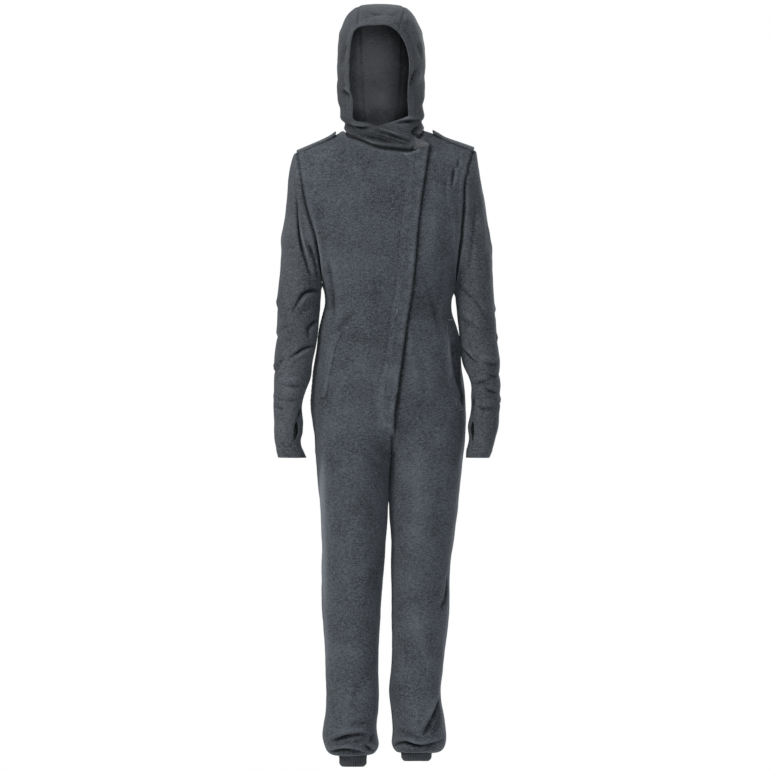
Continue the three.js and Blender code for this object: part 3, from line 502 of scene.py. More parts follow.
def beside_route(cloth, view, points, reach):
    """The points of a piece that lie near a route and face the view: their numbers, their distance to
    it, their side of it, their place along it from 0 to 1, and how squarely they face the view."""
    facing, across = VIEWS[view]
    turned = np.clip((cloth.out @ np.array(facing, float) - 0.03) / 0.36, 0, 1)
    route = soft_route(points) * MM
    flat = cloth.points[:, [across, 2]]
    low, high = route.min(axis=0) - reach, route.max(axis=0) + reach
    near = np.flatnonzero(((flat > low) & (flat < high)).all(axis=1) & (turned > 0))
    flat = flat[near]
    lengths = np.concatenate([[0], np.cumsum(np.linalg.norm(np.diff(route, axis=0), axis=1))])
    best = np.full(len(near), np.inf)
    side = np.zeros(len(near))
    along = np.zeros(len(near))
    for n, (a, b) in enumerate(zip(route[:-1], route[1:])):
        way = b - a
        size = np.linalg.norm(way)
        share = np.clip(((flat - a) @ way) / size**2, 0, 1)
        off = flat - (a + share[:, None] * way)
        gap = np.linalg.norm(off, axis=1)
        closer = gap < best
        best = np.where(closer, gap, best)
        side = np.where(closer, np.sign(way[0] * off[:, 1] - way[1] * off[:, 0]), side)
        along = np.where(closer, (lengths[n] + share * size) / lengths[-1], along)
    return near, best, side, along, turned[near]


def press(cloth, view, folds):
    """Presses the rows of folds into a piece, and paints shade into their troughs and highlights on their
    lips and ridges.
    """
    for points, half, depth, lip in folds:
        half, depth = half * MM, depth * MM
        near, gap, side, along, turned = beside_route(cloth, view, points, 4 * half)
        taper = np.sin(np.pi * np.clip(along, 0, 1)) ** 0.6
        uneven = 1 + 0.22 * np.sin(8.3 * along + 900 * half) + 0.12 * np.sin(19 * along + 500 * depth)
        wide = half * (0.7 + 0.3 * taper)
        trough = 0.5 * np.exp(-((gap / wide) ** 2)) + 0.5 * np.exp(-((1.9 * gap / wide) ** 2))
        ridge = np.exp(-(((gap * side * np.sign(lip) - 1.6 * wide) / (1.0 * wide)) ** 2))
        calm = np.clip(cloth.from_seam[near] / (7 * MM), 0, 1)
        fold = uneven * taper * turned * calm
        push = np.zeros(len(cloth.points))
        push[near] = depth * fold * (abs(lip) * ridge - trough)
        cloth.move(push)
        # Painted shade along the trough, strongest for narrow folds, and a painted highlight on the lip; a
        # ridge is painted paler.
        if depth > 0:
            dark = min(0.95, CREASE_SHADE * depth * min(1, NARROW / half) ** 1.6)
            cloth.painted_shading_and_tone[near] += fold * (0.35 * dark * ridge - dark * np.exp(-((1.5 * gap / wide) ** 2)))
        else:
            cloth.painted_shading_and_tone[near] -= fold * RIDGE_HIGHLIGHT * depth * trough


def paint_shading(cloth, view, strokes):
    """Paints shading along rows of points, in a half-width in mm: a painted highlight where paler is above 0,
    painted shade where it is below 0.
    """
    for points, half, paler in strokes:
        near, gap, _, along, turned = beside_route(cloth, view, points, 3 * half * MM)
        taper = np.sin(np.pi * np.clip(along, 0, 1)) ** 0.4
        cloth.painted_shading_and_tone[near] += paler * taper * turned * np.exp(-((gap / (half * MM)) ** 2))


def finish_piece(name, mesh, materials, nodes=()):
    """Makes a piece of the garment: its object, its materials, the body it rides on, what it replaces."""
    piece = add_object(name, mesh)
    for material in materials:
        mesh.materials.append(material)
    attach(piece, "root")
    if nodes:
        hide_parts(*nodes)
    return piece


# The body: two fronts and two backs, each one cut of fleece from shoulder to ankle. They are sewn
# together over the shoulders, down the sides and the inner legs, and the backs down the middle.
# Inside, the cloth shows its flatter and slightly paler back.
body_fleece = fleece("brushed_marl_fleece", "24272b", "565b62", "9aa1ab")
fleece_back = fleece("flat_back_of_fleece", "3a3c40", "727479", "a4a7ad", mottle=0.7)

# The armhole and neck seams draw in deep and get dark painted shade.
ARMHOLE_SEAM = {"depth": 3.2 * MM, "half": 3.6 * MM, "painted_shade": 0.75}
NECK_SEAM = {"depth": 3.2 * MM, "half": 3.6 * MM, "painted_shade": 0.85}
HOOD_PIECES = ("hood_side_right", "hood_side_left", "hood_centre")
SLEEVES = ("sleeve_right", "sleeve_left")
BODY_FOLDS = {
    "front_right": ("front", [
        ([(-176, -130), (-153, -214), (-139, -297), (-129, -366)], 9, -2.8, 0),
        ([(-118, -150), (-128, -230), (-117, -300), (-110, -350)], 17, -2.4, 0),
        ([(-92, -428), (-119, -454), (-129, -488), (-138, -545)], 5.5, -2.2, 0),
        ([(-96, -64), (-60, -80), (-20, -84)], 12, -1.6, 0),
        ([(-131, -278), (-124, -330), (-120, -375), (-118, -406)], 8, 5.5, 0.5),
        ([(-68, -388), (-92, -412), (-112, -438)], 9, 3.6, -0.5),
        ([(-100, -398), (-72, -440), (-40, -468)], 16, 1.6, 0.4),
        ([(-60, -420), (-84, -500), (-92, -580)], 20, 2.4, 0.3),
        ([(-150, -640), (-118, -668), (-70, -700), (-30, -722)], 16, 1.8, 0.4),
        ([(-52, -700), (-28, -724), (-8, -742)], 9, 2.6, 0.5),
        ([(-136, -640), (-143, -800), (-139, -960), (-134, -1100), (-130, -1210)], 13, -6.0, 0),
        ([(-104, -700), (-112, -820), (-100, -930)], 18, 2.4, 0.3),
        ([(-16, -900), (-24, -1010), (-20, -1100)], 12, 2.4, 0.3),
        ([(-140, -955), (-118, -990), (-84, -1008)], 14, 1.8, 0.4),
        ([(-128, -1090), (-100, -1120), (-62, -1128)], 16, 1.4, 0.4),
        ([(-20, -1130), (-40, -1180), (-66, -1240), (-92, -1276)], 15, 2.6, 0.4),
        ([(-74, -1200), (-86, -1260), (-92, -1318)], 12, -2.4, 0),
        ([(-124, -1347), (-106, -1339), (-86, -1333), (-60, -1329), (-44, -1331)], 6, 11.0, 0.6),
        ([(-36, -1296), (-58, -1310), (-90, -1306)], 9, 3.2, 0.5),
        ([(-134, -1374), (-105, -1366), (-84, -1365), (-50, -1372)], 5, 8.5, 0.5),
        ([(-50, -1352), (-40, -1362), (-27, -1372)], 5, 7.0, 0.5),
        ([(-30, -1330), (-36, -1342), (-34, -1352)], 5, 4.0, 0.5),
    ]),
    "front_left": ("front", [
        ([(151, -66), (147, -92), (143, -120)], 4.5, 4.2, 0.5),
        ([(161, -50), (158, -64), (156, -78)], 4, 3.4, 0.5),
        ([(128, -92), (130, -116), (131, -146)], 7, 2.2, 0.5),
        ([(142, -140), (151, -200), (150, -262)], 9, -2.6, 0),
        ([(112, -110), (104, -200), (98, -300)], 24, -2.6, 0),
        ([(86, -322), (100, -372), (122, -446)], 10, 4.4, 0.5),
        ([(126, -296), (120, -350), (106, -402)], 10, 3.2, 0.4),
        ([(60, -470), (84, -520), (92, -590)], 17, 2.6, 0.3),
        ([(40, -400), (58, -470), (66, -560)], 14, -2.0, 0),
        ([(143, -440), (148, -490), (154, -540), (170, -606)], 7, 6.4, -0.5),
        ([(36, -704), (70, -694), (112, -662)], 15, 1.6, -0.4),
        ([(12, -730), (34, -716), (58, -708)], 10, 2.2, 0.4),
        ([(70, -640), (72, -790), (66, -960)], 26, -3.0, 0),
        ([(120, -760), (112, -860), (118, -950)], 14, 2.6, 0.3),
        ([(136, -976), (134, -1006), (131, -1030), (118, -1052)], 6, 8.0, -0.6),
        ([(118, -1044), (92, -1052), (60, -1046)], 14, 1.6, 0.4),
        ([(60, -1060), (84, -1130), (98, -1200)], 15, -2.6, 0),
        ([(30, -1090), (44, -1160), (40, -1230)], 15, 1.6, 0.3),
        ([(122, -1240), (108, -1284), (94, -1306), (80, -1332)], 6.5, 11.0, -0.6),
        ([(40, -1190), (66, -1222), (96, -1240)], 14, 1.6, 0.4),
        ([(70, -1262), (64, -1300), (70, -1340)], 9, -3.0, 0),
        ([(8, -1362), (26, -1350), (42, -1348), (61, -1357), (90, -1357), (124, -1344)], 5.5, 11.5, 0.5),
        ([(26, -1318), (48, -1331), (66, -1330)], 8, 3.6, 0.4),
        ([(20, -1372), (50, -1377), (96, -1373)], 4.5, 3.6, 0.4),
    ]),
    "back_right": ("back", [
        ([(-130, -270), (-118, -330), (-120, -392)], 8, 7.4, 0.5),
        ([(-96, -110), (-110, -190), (-106, -270)], 16, -2.8, 0),
        ([(-20, -250), (-58, -286), (-104, -300)], 10.4, 4.6, 0.4),
        ([(-40, -395), (-84, -412), (-126, -398)], 9.6, 6.8, 0.5),
        ([(-30, -440), (-78, -462), (-130, -452)], 10.4, 5.4, 0.4),
        ([(-60, -520), (-84, -580), (-80, -640)], 20, -3.0, 0),
        ([(-24, -690), (-64, -664), (-112, -650)], 10.4, 8.1, 0.5),
        ([(-20, -735), (-56, -722), (-104, -716)], 9.6, 6.8, 0.5),
        ([(-70, -760), (-82, -860), (-76, -960)], 18, -3.0, 0),
        ([(-134, -1000), (-92, -1022), (-44, -1010)], 10.4, 8.1, 0.5),
        ([(-124, -1056), (-84, -1068), (-46, -1056)], 9.6, 6.2, 0.5),
        ([(-50, -1190), (-82, -1226), (-112, -1246)], 11.2, 6.2, 0.5),
        ([(-122, -1344), (-84, -1332), (-44, -1338)], 7, 8.0, 0.6),
        ([(-118, -1368), (-80, -1366), (-40, -1372)], 6, 5.0, 0.5),
    ]),
    "back_left": ("back", [
        ([(134, -282), (122, -340), (124, -404)], 8, 7.4, 0.5),
        ([(94, -120), (108, -200), (104, -276)], 16, -2.8, 0),
        ([(24, -262), (60, -290), (108, -306)], 10.4, 4.3, 0.4),
        ([(34, -402), (80, -420), (128, -408)], 9.6, 6.8, 0.5),
        ([(28, -452), (76, -470), (132, -462)], 10.4, 5.1, 0.4),
        ([(60, -524), (82, -580), (80, -640)], 20, -3.0, 0),
        ([(30, -690), (70, -668), (118, -652)], 10.4, 8.1, 0.5),
        ([(26, -736), (62, -724), (110, -716)], 9.6, 6.5, 0.5),
        ([(70, -760), (86, -870), (78, -970)], 18, -3.0, 0),
        ([(136, -1006), (94, -1028), (46, -1016)], 10.4, 8.1, 0.5),
        ([(128, -1060), (90, -1074), (50, -1064)], 9.6, 6.2, 0.5),
        ([(52, -1186), (86, -1222), (116, -1240)], 11.2, 6.2, 0.5),
        ([(116, -1342), (82, -1330), (42, -1338)], 7, 8.0, 0.6),
        ([(118, -1370), (80, -1366), (44, -1372)], 6, 5.0, 0.5),
    ]),
}
# The placket: the right front's doubled edge over the zip, held by a row of stitches. Its free edge is
# a soft roll with a painted highlight and a thin painted shadow line, and the left front sinks a little
# beside it under a painted shadow.
FLY_END = -0.66
PLACKET_WIDTH = 27 * MM
SHADOW_WIDENS = -0.35  # below this height the left front sinks in a wider line
PLACKET_STITCHES = [
    (52, -42), (45, -103), (37, -173), (30, -232), (24.5, -299), (16.5, -360), (9, -401), (3, -451),
    (-4, -501), (-12, -530), (-18, -573), (-19, -620), (-18, -646), (-10, -654), (14, -654)]
# Rows of painted shading on the fronts: highlights where light falls and on the pocket edges, shade along the
# crotch seam, under the hem folds, beside the left pocket and down the inner left leg, and a paler patch at
# the placket's lower end.
BODY_SHADING_STROKES = {
    "front_right": [
        ([(-140, -600), (-144, -800), (-138, -960), (-132, -1100), (-128, -1230)], 15, 0.06),
        ([(-12, -560), (-14, -600), (-6, -650)], 12, 0.2),
        ([(-16, -646), (12, -646)], 8, 0.14),
        ([(11, -662), (9, -690), (8, -722)], 2.6, -0.6),
        ([(-112, -1354), (-80, -1347), (-48, -1342)], 6, -0.34),
        ([(-120, -1374), (-80, -1371), (-40, -1378)], 4, -0.3),
        ([(-104, -436), (-122, -458), (-131, -492), (-139, -545)], 6, 0.12),
    ],
    "front_left": [
        ([(11, -662), (9, -690), (8, -722)], 2.6, -0.6),
        ([(136, -420), (140, -480), (146, -540), (158, -600)], 7, 0.3),
        ([(156, -430), (162, -500), (170, -560), (182, -604)], 8, -0.5),
        ([(126, -1262), (116, -1300), (100, -1334)], 10, -0.42),
        ([(20, -1364), (60, -1369), (112, -1362)], 5, -0.34),
        ([(12, -745), (10, -900), (14, -1060)], 10, -0.16),
    ],
}
# A painted highlight down the outer side of the right leg, where the light falls on it.
LIT_SIDE = [([(-24, -600), (-26, -800), (-18, -960), (-10, -1100), (-6, -1230)], 28, 0.26)]
BODY_CUTS = {  # width and length of the cloth each panel is cut from, and its own area
    "front_right": (0.42, 1.50, 0.33),
    "front_left": (0.34, 1.48, 0.27),
    "back_right": (0.40, 1.52, 0.305),
    "back_left": (0.40, 1.52, 0.30),
}


def armhole_pull(cloth):
    """How hard the armhole seams draw the cloth in and how much shade is painted in them: little over the
    shoulders, fully under the arms.
    """
    on_left = cloth.points[:, 0] > 0
    least, most = np.where(on_left, 0.5, 0.2), np.where(on_left, 1.0, 0.7)
    return least + (most - least) * np.clip((-70 * MM - cloth.points[:, 2]) / (130 * MM), 0, 1)


def strap_shadow(cloth):
    """Paints shade on the cloth around the shoulder straps, where they cast shadow on it."""
    return -0.6 * np.exp(-((np.array([strap_tree.find(p)[2] for p in cloth.points]) / (4 * MM)) ** 2))


strap_tree = near_tree(np.concatenate([
    small_cloth(name, FINE).points for name in ("epaulette_right", "epaulette_left")]))
for name in PANELS:
    cloth = cloths[name]
    view, folds = BODY_FOLDS[name]
    press(cloth, view, folds)
    paint_shading(cloth, view, BODY_SHADING_STROKES.get(name, ()))
    if name.endswith("_right"):
        paint_shading(cloth, "right", LIT_SIDE)
    seam_dip(cloth)
    seam_dip(cloth, beside=SLEEVES, pull=armhole_pull(cloth), **ARMHOLE_SEAM)
    cloth.painted_shading_and_tone += strap_shadow(cloth)
    seam_dip(cloth, beside=HOOD_PIECES, **NECK_SEAM)
    if name == "front_right":
        on_fly = cloth.points[:, 2] > FLY_END
        d = cloth.from_hem()
        flat_end = np.clip((cloth.points[:, 2] - FLY_END) / (90 * MM), 0, 1)
        edge_roll = np.exp(-(((d - 5 * MM) / (4 * MM)) ** 2)) * flat_end
        cloth.move(1.2 * MM * edge_roll)
        # A painted highlight on the edge roll, and a thin painted shadow line at the very edge of the fly.
        cloth.painted_shading_and_tone += 0.08 * edge_roll - 0.5 * np.exp(-((d / (1.5 * MM)) ** 2)) * on_fly
        # The placket band is made paler, in blotches.
        blotches = np.array([noise.noise(Vector(p) / (24 * MM)) for p in cloth.points])
        band = np.clip((PLACKET_WIDTH - d) / (5 * MM), 0, 1) * np.clip((d - 2 * MM) / (5 * MM), 0, 1)
        cloth.painted_shading_and_tone += (0.16 + 0.4 * blotches) * band * on_fly
        press(cloth, "front", [(PLACKET_STITCHES, 3.2, 1.8, 0.6)])
        fly_edge = cloth.points[[n for n in cloth.hem if cloth.points[n, 2] > FLY_END]] * (1, 0, 1)
    if name == "front_left":
        edge_tree = near_tree(fly_edge)
        beside_fly = np.array([edge_tree.find(p)[2] for p in cloth.points * (1, 0, 1)])
        width = 4.5 * MM + 3.0 * MM * np.clip((SHADOW_WIDENS - cloth.points[:, 2]) / 0.2, 0, 1)
        shadow_line = np.exp(-((beside_fly / width) ** 2)) * np.clip(-cloth.out[:, 1], 0, 1)
        # A painted shadow where the left front sinks beside the fly edge.
        cloth.move(-2.6 * MM * shadow_line)
        cloth.painted_shading_and_tone -= 0.8 * shadow_line
    materials = (body_fleece, fleece_back)
    body = finish_piece("cloth_" + name, cloth_mesh(name, cloth), materials, CUT_PIECES[name])
    width, length, area = BODY_CUTS[name]

# The sleeves: one cut each, sewn into deep armholes, with a turned hem and a slit for the thumb.
# The same fleece, its cloth pushed up in wrinkles at the elbow and along the forearm.
sleeve_fleece = fleece("brushed_marl_fleece_sleeve", "25282c", "585c62", "9ea5ae")
SLEEVE_FOLDS = {
    "sleeve_right": [
        ("front", [
            ([(-202, -130), (-199, -205), (-191, -245), (-179, -285), (-168, -316)], 4.5, 7.5, 0.4),
            ([(-180, -232), (-166, -262), (-157, -290), (-154, -318)], 5.5, 4.6, -0.4),
            ([(-226, -150), (-232, -230), (-224, -310)], 11, -2.8, 0),
            ([(-146, -346), (-170, -346), (-188, -353), (-212, -394)], 5.5, 7.0, 0.6),
            ([(-158, -372), (-182, -384), (-200, -412)], 8, 2.4, 0.5),
            ([(-150, -406), (-168, -420), (-177, -434), (-172, -452)], 5, 5.4, 0.5),
            ([(-214, -420), (-236, -430), (-246, -446)], 7, 2.6, 0.5),
            ([(-154, -466), (-176, -471), (-194, -480), (-222, -500)], 4.5, 6.4, 0.5),
            ([(-226, -492), (-240, -508), (-246, -528)], 6, 3.2, 0.5),
            ([(-186, -540), (-212, -543), (-240, -543)], 6, -2.0, 0),
            ([(-182, -556), (-206, -560), (-238, -553)], 5, 3.0, 0.5),
            ([(-190, -586), (-214, -592), (-244, -584)], 5, 2.6, 0.5),
            ([(-222, -610), (-240, -606), (-250, -600)], 4.5, 2.6, 0.5),
            ([(-188, -600), (-194, -618), (-200, -634)], 5, 4.2, 0.5),
        ]),
        ("back", [
            ([(-190, -140), (-186, -210), (-172, -290)], 6, 5.0, 0.5),
            ([(-152, -336), (-180, -352), (-210, -384)], 8, 6.5, 0.5),
            ([(-160, -410), (-188, -424), (-216, -436)], 8, 6.0, 0.5),
            ([(-172, -470), (-200, -482), (-230, -488)], 7, 6.0, 0.5),
            ([(-184, -540), (-212, -548), (-240, -544)], 7, 4.6, 0.5),
            ([(-196, -600), (-216, -606), (-240, -600)], 6, 3.4, 0.5),
        ]),
        ("right", [
            ([(-30, -180), (-6, -240), (10, -300)], 12, -2.6, 0),
            ([(-26, -366), (-4, -388), (28, -392)], 7, 4.2, 0.5),
            ([(-30, -452), (-2, -446), (22, -424)], 6.5, 3.4, 0.5),
            ([(-46, -508), (-24, -526), (8, -530)], 6, 3.8, 0.5),
            ([(-36, -592), (-14, -586), (4, -570)], 5.5, 2.6, 0.5),
        ]),
    ],
    "sleeve_left": [
        ("front", [
            ([(206, -118), (214, -200), (214, -284)], 9, -3.0, 0),
            ([(196, -150), (192, -230), (180, -300)], 7, 3.0, 0.4),
            ([(158, -330), (176, -352), (200, -372), (222, -410)], 7, 3.0, 0.5),
            ([(160, -400), (180, -420), (206, -430)], 7, 2.8, 0.5),
            ([(160, -468), (176, -484), (190, -500), (202, -506)], 3.6, 5.0, 0.5),
            ([(203, -494), (224, -494), (246, -496)], 5, -3.8, 0),
            ([(216, -506), (236, -511), (254, -506)], 5, 3.0, 0.5),
            ([(222, -530), (240, -538), (254, -534)], 4.5, 2.6, 0.5),
            ([(186, -553), (208, -550), (232, -541)], 5, 3.0, 0.5),
            ([(214, -562), (234, -571), (254, -572)], 4.5, 3.6, 0.5),
            ([(196, -600), (216, -610), (244, -604)], 6, 3.0, 0.5),
            ([(194, -574), (190, -600), (190, -626)], 5, 3.6, 0.4),
        ]),
        ("back", [
            ([(190, -140), (186, -210), (172, -290)], 6, 5.0, -0.5),
            ([(158, -350), (186, -366), (214, -398)], 8, 6.5, 0.5),
            ([(164, -424), (192, -438), (220, -450)], 8, 6.0, 0.5),
            ([(176, -484), (204, -496), (234, -502)], 7, 6.0, 0.5),
            ([(188, -552), (216, -560), (244, -556)], 7, 4.6, 0.5),
            ([(198, -606), (220, -612), (244, -606)], 6, 3.4, 0.5),
        ]),
        ("left", [
            ([(-30, -190), (-8, -250), (8, -310)], 12, -2.6, 0),
            ([(-24, -398), (4, -396), (30, -376)], 7, 4.0, 0.5),
            ([(-34, -446), (-8, -464), (20, -468)], 6.5, 3.4, 0.5),
            ([(-50, -540), (-26, -532), (4, -512)], 6, 3.8, 0.5),
            ([(-50, -582), (-30, -598), (-6, -602)], 5.5, 2.8, 0.5),
        ]),
    ],
}
# Painted shading down the forearms: a highlight on the right one, which faces the light, and shade on the
# left one.
SLEEVE_SHADING_STROKES = {
    "sleeve_right": [([(-204, -440), (-214, -520), (-222, -600), (-226, -690)], 24, 0.2)],
    "sleeve_left": [([(214, -460), (222, -560), (226, -680)], 20, -0.12)],
}
SLEEVE_HEM = 20 * MM
HEM_TOP = -0.69
for name, views in SLEEVE_FOLDS.items():
    cloth = cloths[name]
    for view, folds in views:
        press(cloth, view, folds)
    paint_shading(cloth, "front", SLEEVE_SHADING_STROKES[name])
    seam_dip(cloth)
    seam_dip(cloth, beside=PANELS, pull=armhole_pull(cloth), **ARMHOLE_SEAM)
    cloth.painted_shading_and_tone += strap_shadow(cloth)
    turned_up = np.clip((SLEEVE_HEM - cloth.from_hem()) / (1.5 * MM), 0, 1) * (cloth.points[:, 2] < HEM_TOP)
    cloth.move(0.8 * MM * turned_up)
    materials = (sleeve_fleece, fleece_back)
    sleeve = finish_piece("cloth_" + name, cloth_mesh(name, cloth), materials, [name])

# The hood: two fleece sides that cross over at the throat and a centre strip from forehead to nape,
# sewn with overlocked seams, the face edge turned in and topstitched. It stands up by itself, in small
# dents and rolls. Inside, it is painted a little paler, with painted shade beside the face, at the
# throat and in the crown, and the back of its fleece is a lighter copy that paints in light.
hood_fleece = fleece("brushed_marl_fleece_hood", "26292d", "55585d", "a0a4aa", mottle=0.7)
# A lighter copy of the back of the fleece for inside the hood: painted light.
hood_back_lightened = fleece("lightened_back_of_hood_fleece", "46484c", "85878c", "b0b3b9", mottle=0.4)
HOOD_FOLDS = {
    "hood_side_right": [
        ("front", [
            ([(-88, 22), (-70, 16), (-54, 14), (-36, 16)], 4, 8.5, 0.6),
            ([(-99, 100), (-91, 92), (-82, 84)], 5, 7.5, 0.5),
            ([(-30, 20), (-6, 12), (24, 2), (60, -8)], 4.5, -5.6, 0),
            ([(-30, 10), (0, 2), (28, -8), (56, -16)], 3.4, 6.0, 0),
            ([(-84, 6), (-54, -4), (-22, -12), (12, -18)], 4, 6.5, -0.5),
            ([(-104, 150), (-98, 176), (-88, 200)], 7, 3.0, 0.5),
            ([(-52, 246), (-34, 254), (-14, 254)], 5, 3.4, 0.6),
            ([(-96, 60), (-92, 44), (-84, 34)], 5, -3.0, 0),
        ]),
        ("right", [
            ([(-60, 20), (-20, 30), (40, 22)], 9, 6.0, 0.5),
            ([(-40, 60), (10, 66), (62, 50)], 11, 4.8, 0.4),
            ([(-50, 120), (0, 132), (60, 118)], 16, 3.4, 0.4),
            ([(-30, 240), (-2, 200), (10, 150)], 16, -3.0, 0),
        ]),
    ],
    "hood_side_left": [
        ("front", [
            ([(18, 24), (44, 30), (74, 33)], 4, 8.5, 0.6),
            ([(68, 148), (62, 133), (57, 120), (52, 106)], 5, 9.5, 0.5),
            ([(76, 22), (62, 12), (58, 3), (76, -8)], 4.5, 8.5, 0.5),
            ([(84, 90), (86, 64), (82, 40)], 6, -3.0, 0),
            ([(66, 206), (74, 184), (78, 166)], 6, 3.4, 0.5),
            ([(10, 262), (30, 256), (46, 242)], 5, 3.4, 0.5),
        ]),
        ("left", [
            ([(-60, 24), (-16, 34), (44, 24)], 9, 6.0, 0.5),
            ([(-44, 66), (10, 72), (60, 56)], 11, 4.8, 0.4),
            ([(-50, 126), (0, 138), (60, 122)], 16, 3.4, 0.4),
            ([(-30, 244), (-2, 204), (10, 154)], 16, -3.0, 0),
        ]),
    ],
    "hood_centre": [
        ("front", [
            ([(-44, 270), (-26, 265), (-4, 268)], 4, 2.6, 0.6),
            ([(-12, 262), (8, 264), (30, 272)], 4, 2.2, 0.6),
            ([(-40, 256), (-10, 259), (22, 256)], 4, -2.6, 0),
        ]),
        ("back", [
            ([(-40, 60), (-12, 52), (24, 58)], 9, 4.0, 0.5),
            ([(-36, 120), (-8, 112), (20, 116)], 12, 3.0, 0.4),
        ]),
    ],
}
# Painted shade along the throat, where the hood's layers cross.
HOOD_SHADING_STROKES = {
    "hood_side_right": [([(-88, 4), (-44, -8), (16, -18), (52, -22)], 12, -0.2)],
    "hood_side_left": [([(40, 22), (62, 16), (82, 10)], 9, -0.2)],
    "hood_centre": [],
}
HOOD_HEM = 17 * MM
HOOD_TONE = {"hood_side_right": -0.16, "hood_side_left": 0.1, "hood_centre": 0.0}  # how much paler (above 0) or darker (below 0) each piece is made away from its seams
HOOD_CUTS = {
    "hood_side_right": (0.26, 0.34, 0.064),
    "hood_side_left": (0.26, 0.34, 0.062),
    "hood_centre": (0.10, 0.50, 0.043),
}
for name, views in HOOD_FOLDS.items():
    cloth = cloths[name]
    for view, folds in views:
        press(cloth, view, folds)
    paint_shading(cloth, "front", HOOD_SHADING_STROKES[name])
    d = cloth.from_hem()
    seam_dip(cloth, pull=0.3 + 0.7 * np.clip((d - 8 * MM) / (16 * MM), 0, 1))
    seam_dip(cloth, beside=PANELS, **NECK_SEAM)
    cloth.painted_shading_and_tone += HOOD_TONE[name] * np.clip(cloth.from_seam / (20 * MM), 0, 1)
    turned_in = np.clip((HOOD_HEM - d) / (2 * MM), 0, 1)
    cloth.move(0.9 * MM * turned_in - 0.8 * MM * np.exp(-(((d - HOOD_HEM) / (2 * MM)) ** 2)))
    # A painted highlight on the turned-in face edge and painted shade in the groove beside it.
    cloth.painted_shading_and_tone += 0.1 * turned_in - 0.25 * np.exp(-(((d - HOOD_HEM) / (2 * MM)) ** 2))
    beside_face = np.clip((abs(cloth.points[:, 0] + 21 * MM) - 24 * MM) / (40 * MM), 0, 1)
    throat = np.clip((78 * MM - cloth.points[:, 2]) / (46 * MM), 0, 1)
    crown = np.clip((cloth.points[:, 2] - 200 * MM) / (40 * MM), 0, 1)
    # Inside the hood: painted a little paler overall, with painted shade beside the face, at the throat and
    # in the crown.
    inner_shading_and_tone = 0.7 * cloth.painted_shading_and_tone + 0.16 - 0.5 * beside_face - 0.6 * throat - 0.4 * crown
    materials = (hood_fleece, hood_back_lightened)
    hood_mesh = cloth_mesh(name, cloth, inner_shading_and_tone=inner_shading_and_tone)
    hood = finish_piece("cloth_" + name, hood_mesh, materials, [name])
    width, length, area = HOOD_CUTS[name]


# The shoulder straps: doubled fleece, sewn in at the armhole and tacked down short of the neck, where
# the free end stands up a little. A row of stitches runs round the edge.
strap_fleece = fleece("brushed_marl_fleece_strap", "24272b", "54585e", "969ca5")
STRAP_FREE_END = 136 * MM
STRAP_LIFT = 2.6 * MM
STRAP_STITCHES_IN = 4 * MM
straps = {}
for name in ("epaulette_right", "epaulette_left"):
    cloth = straps[name] = small_cloth(name, FINE)
    free_end = np.clip((STRAP_FREE_END - abs(cloth.points[:, 0])) / (20 * MM), 0, 1)
    cloth.points[:, 2] += STRAP_LIFT * free_end**2
    # The strap is made a little paler all over, with painted shade in the groove of its stitch line.
    cloth.painted_shading_and_tone += 0.2 - 0.5 * np.exp(-(((cloth.from_hem() - STRAP_STITCHES_IN) / (1.2 * MM)) ** 2))
    strap_mesh = cloth_mesh(name, cloth, 3.4 * MM)
    strap = finish_piece("cloth_" + name, strap_mesh, (strap_fleece,), [name])

# The pocket welts: narrow folded strips that edge the slanted hip pockets. They are sewn flat at both
# long sides, so each is a soft ridge of the same fleece.
WELT_SINK = 1.6 * MM
WELT_RISE = 1.4 * MM
for name, length in (("pocket_welt_right", 0.165), ("pocket_welt_left", 0.135)):
    cloth = small_cloth(name, FINE + 1)
    crown = np.clip(cloth.from_hem() / (4 * MM), 0, 1)
    cloth.move(WELT_RISE * np.sin(crown * math.pi / 2) - WELT_SINK)
    # A painted highlight along the welt's crown and painted shade at its sides.
    cloth.painted_shading_and_tone += 0.3 * crown - 0.1
    welt_mesh = cloth_mesh(name, cloth, 1.6 * MM)
    welt = finish_piece("cloth_" + name, welt_mesh, (body_fleece,), [name])

# The ankle cuffs: tubes of rib knit, doubled and sewn inside the gathered trouser ends. The real ribs
# are 2.5 mm apart and are drawn at 4.5 mm to show. The folded lower edge rounds in.
RIB = 4.5 * MM
RIB_HEIGHT = 0.55 * MM
CUFF_ROUND = 7 * MM
CUFF_DRAWN_IN = 5.5 * MM
cuff_rib = fleece("rib_knit_cuff", "1f2124", "484b50", "80868e", mottle=0.6)
for name, flat in (("ankle_cuff_right", (0.03, 0.21)), ("ankle_cuff_left", (0.025, 0.22))):
    cloth = small_cloth(name, FINE)
    middle = cloth.points.mean(axis=0)
    way = cloth.points - middle
    turn = np.arctan2(way[:, 1], way[:, 0])
    ribs = np.cos(turn * round(flat[1] / RIB))
    low = cloth.points[:, 2].min()
    under = np.clip((low + CUFF_ROUND - cloth.points[:, 2]) / CUFF_ROUND, 0, 1)
    cloth.move(RIB_HEIGHT * ribs - CUFF_DRAWN_IN * under**2)
    # Painted shading on the ribs: paler on each rib, darker between them.
    cloth.painted_shading_and_tone += 0.35 * ribs
    cuff = finish_piece("cloth_" + name, cloth_mesh(name, cloth), (cuff_rib,), [name])

# The tab that closes the top of the fly: a small patch of paler smooth twill over the end of the zip.
TAB_STITCHES_IN = 2.5 * MM
tab_twill = fleece("pale_tab_cloth", "505255", "7c7e82", "b4b6ba", mottle=0.5)
tab_cloth = small_cloth("fly_top_tab", FINE, "SIMPLE")
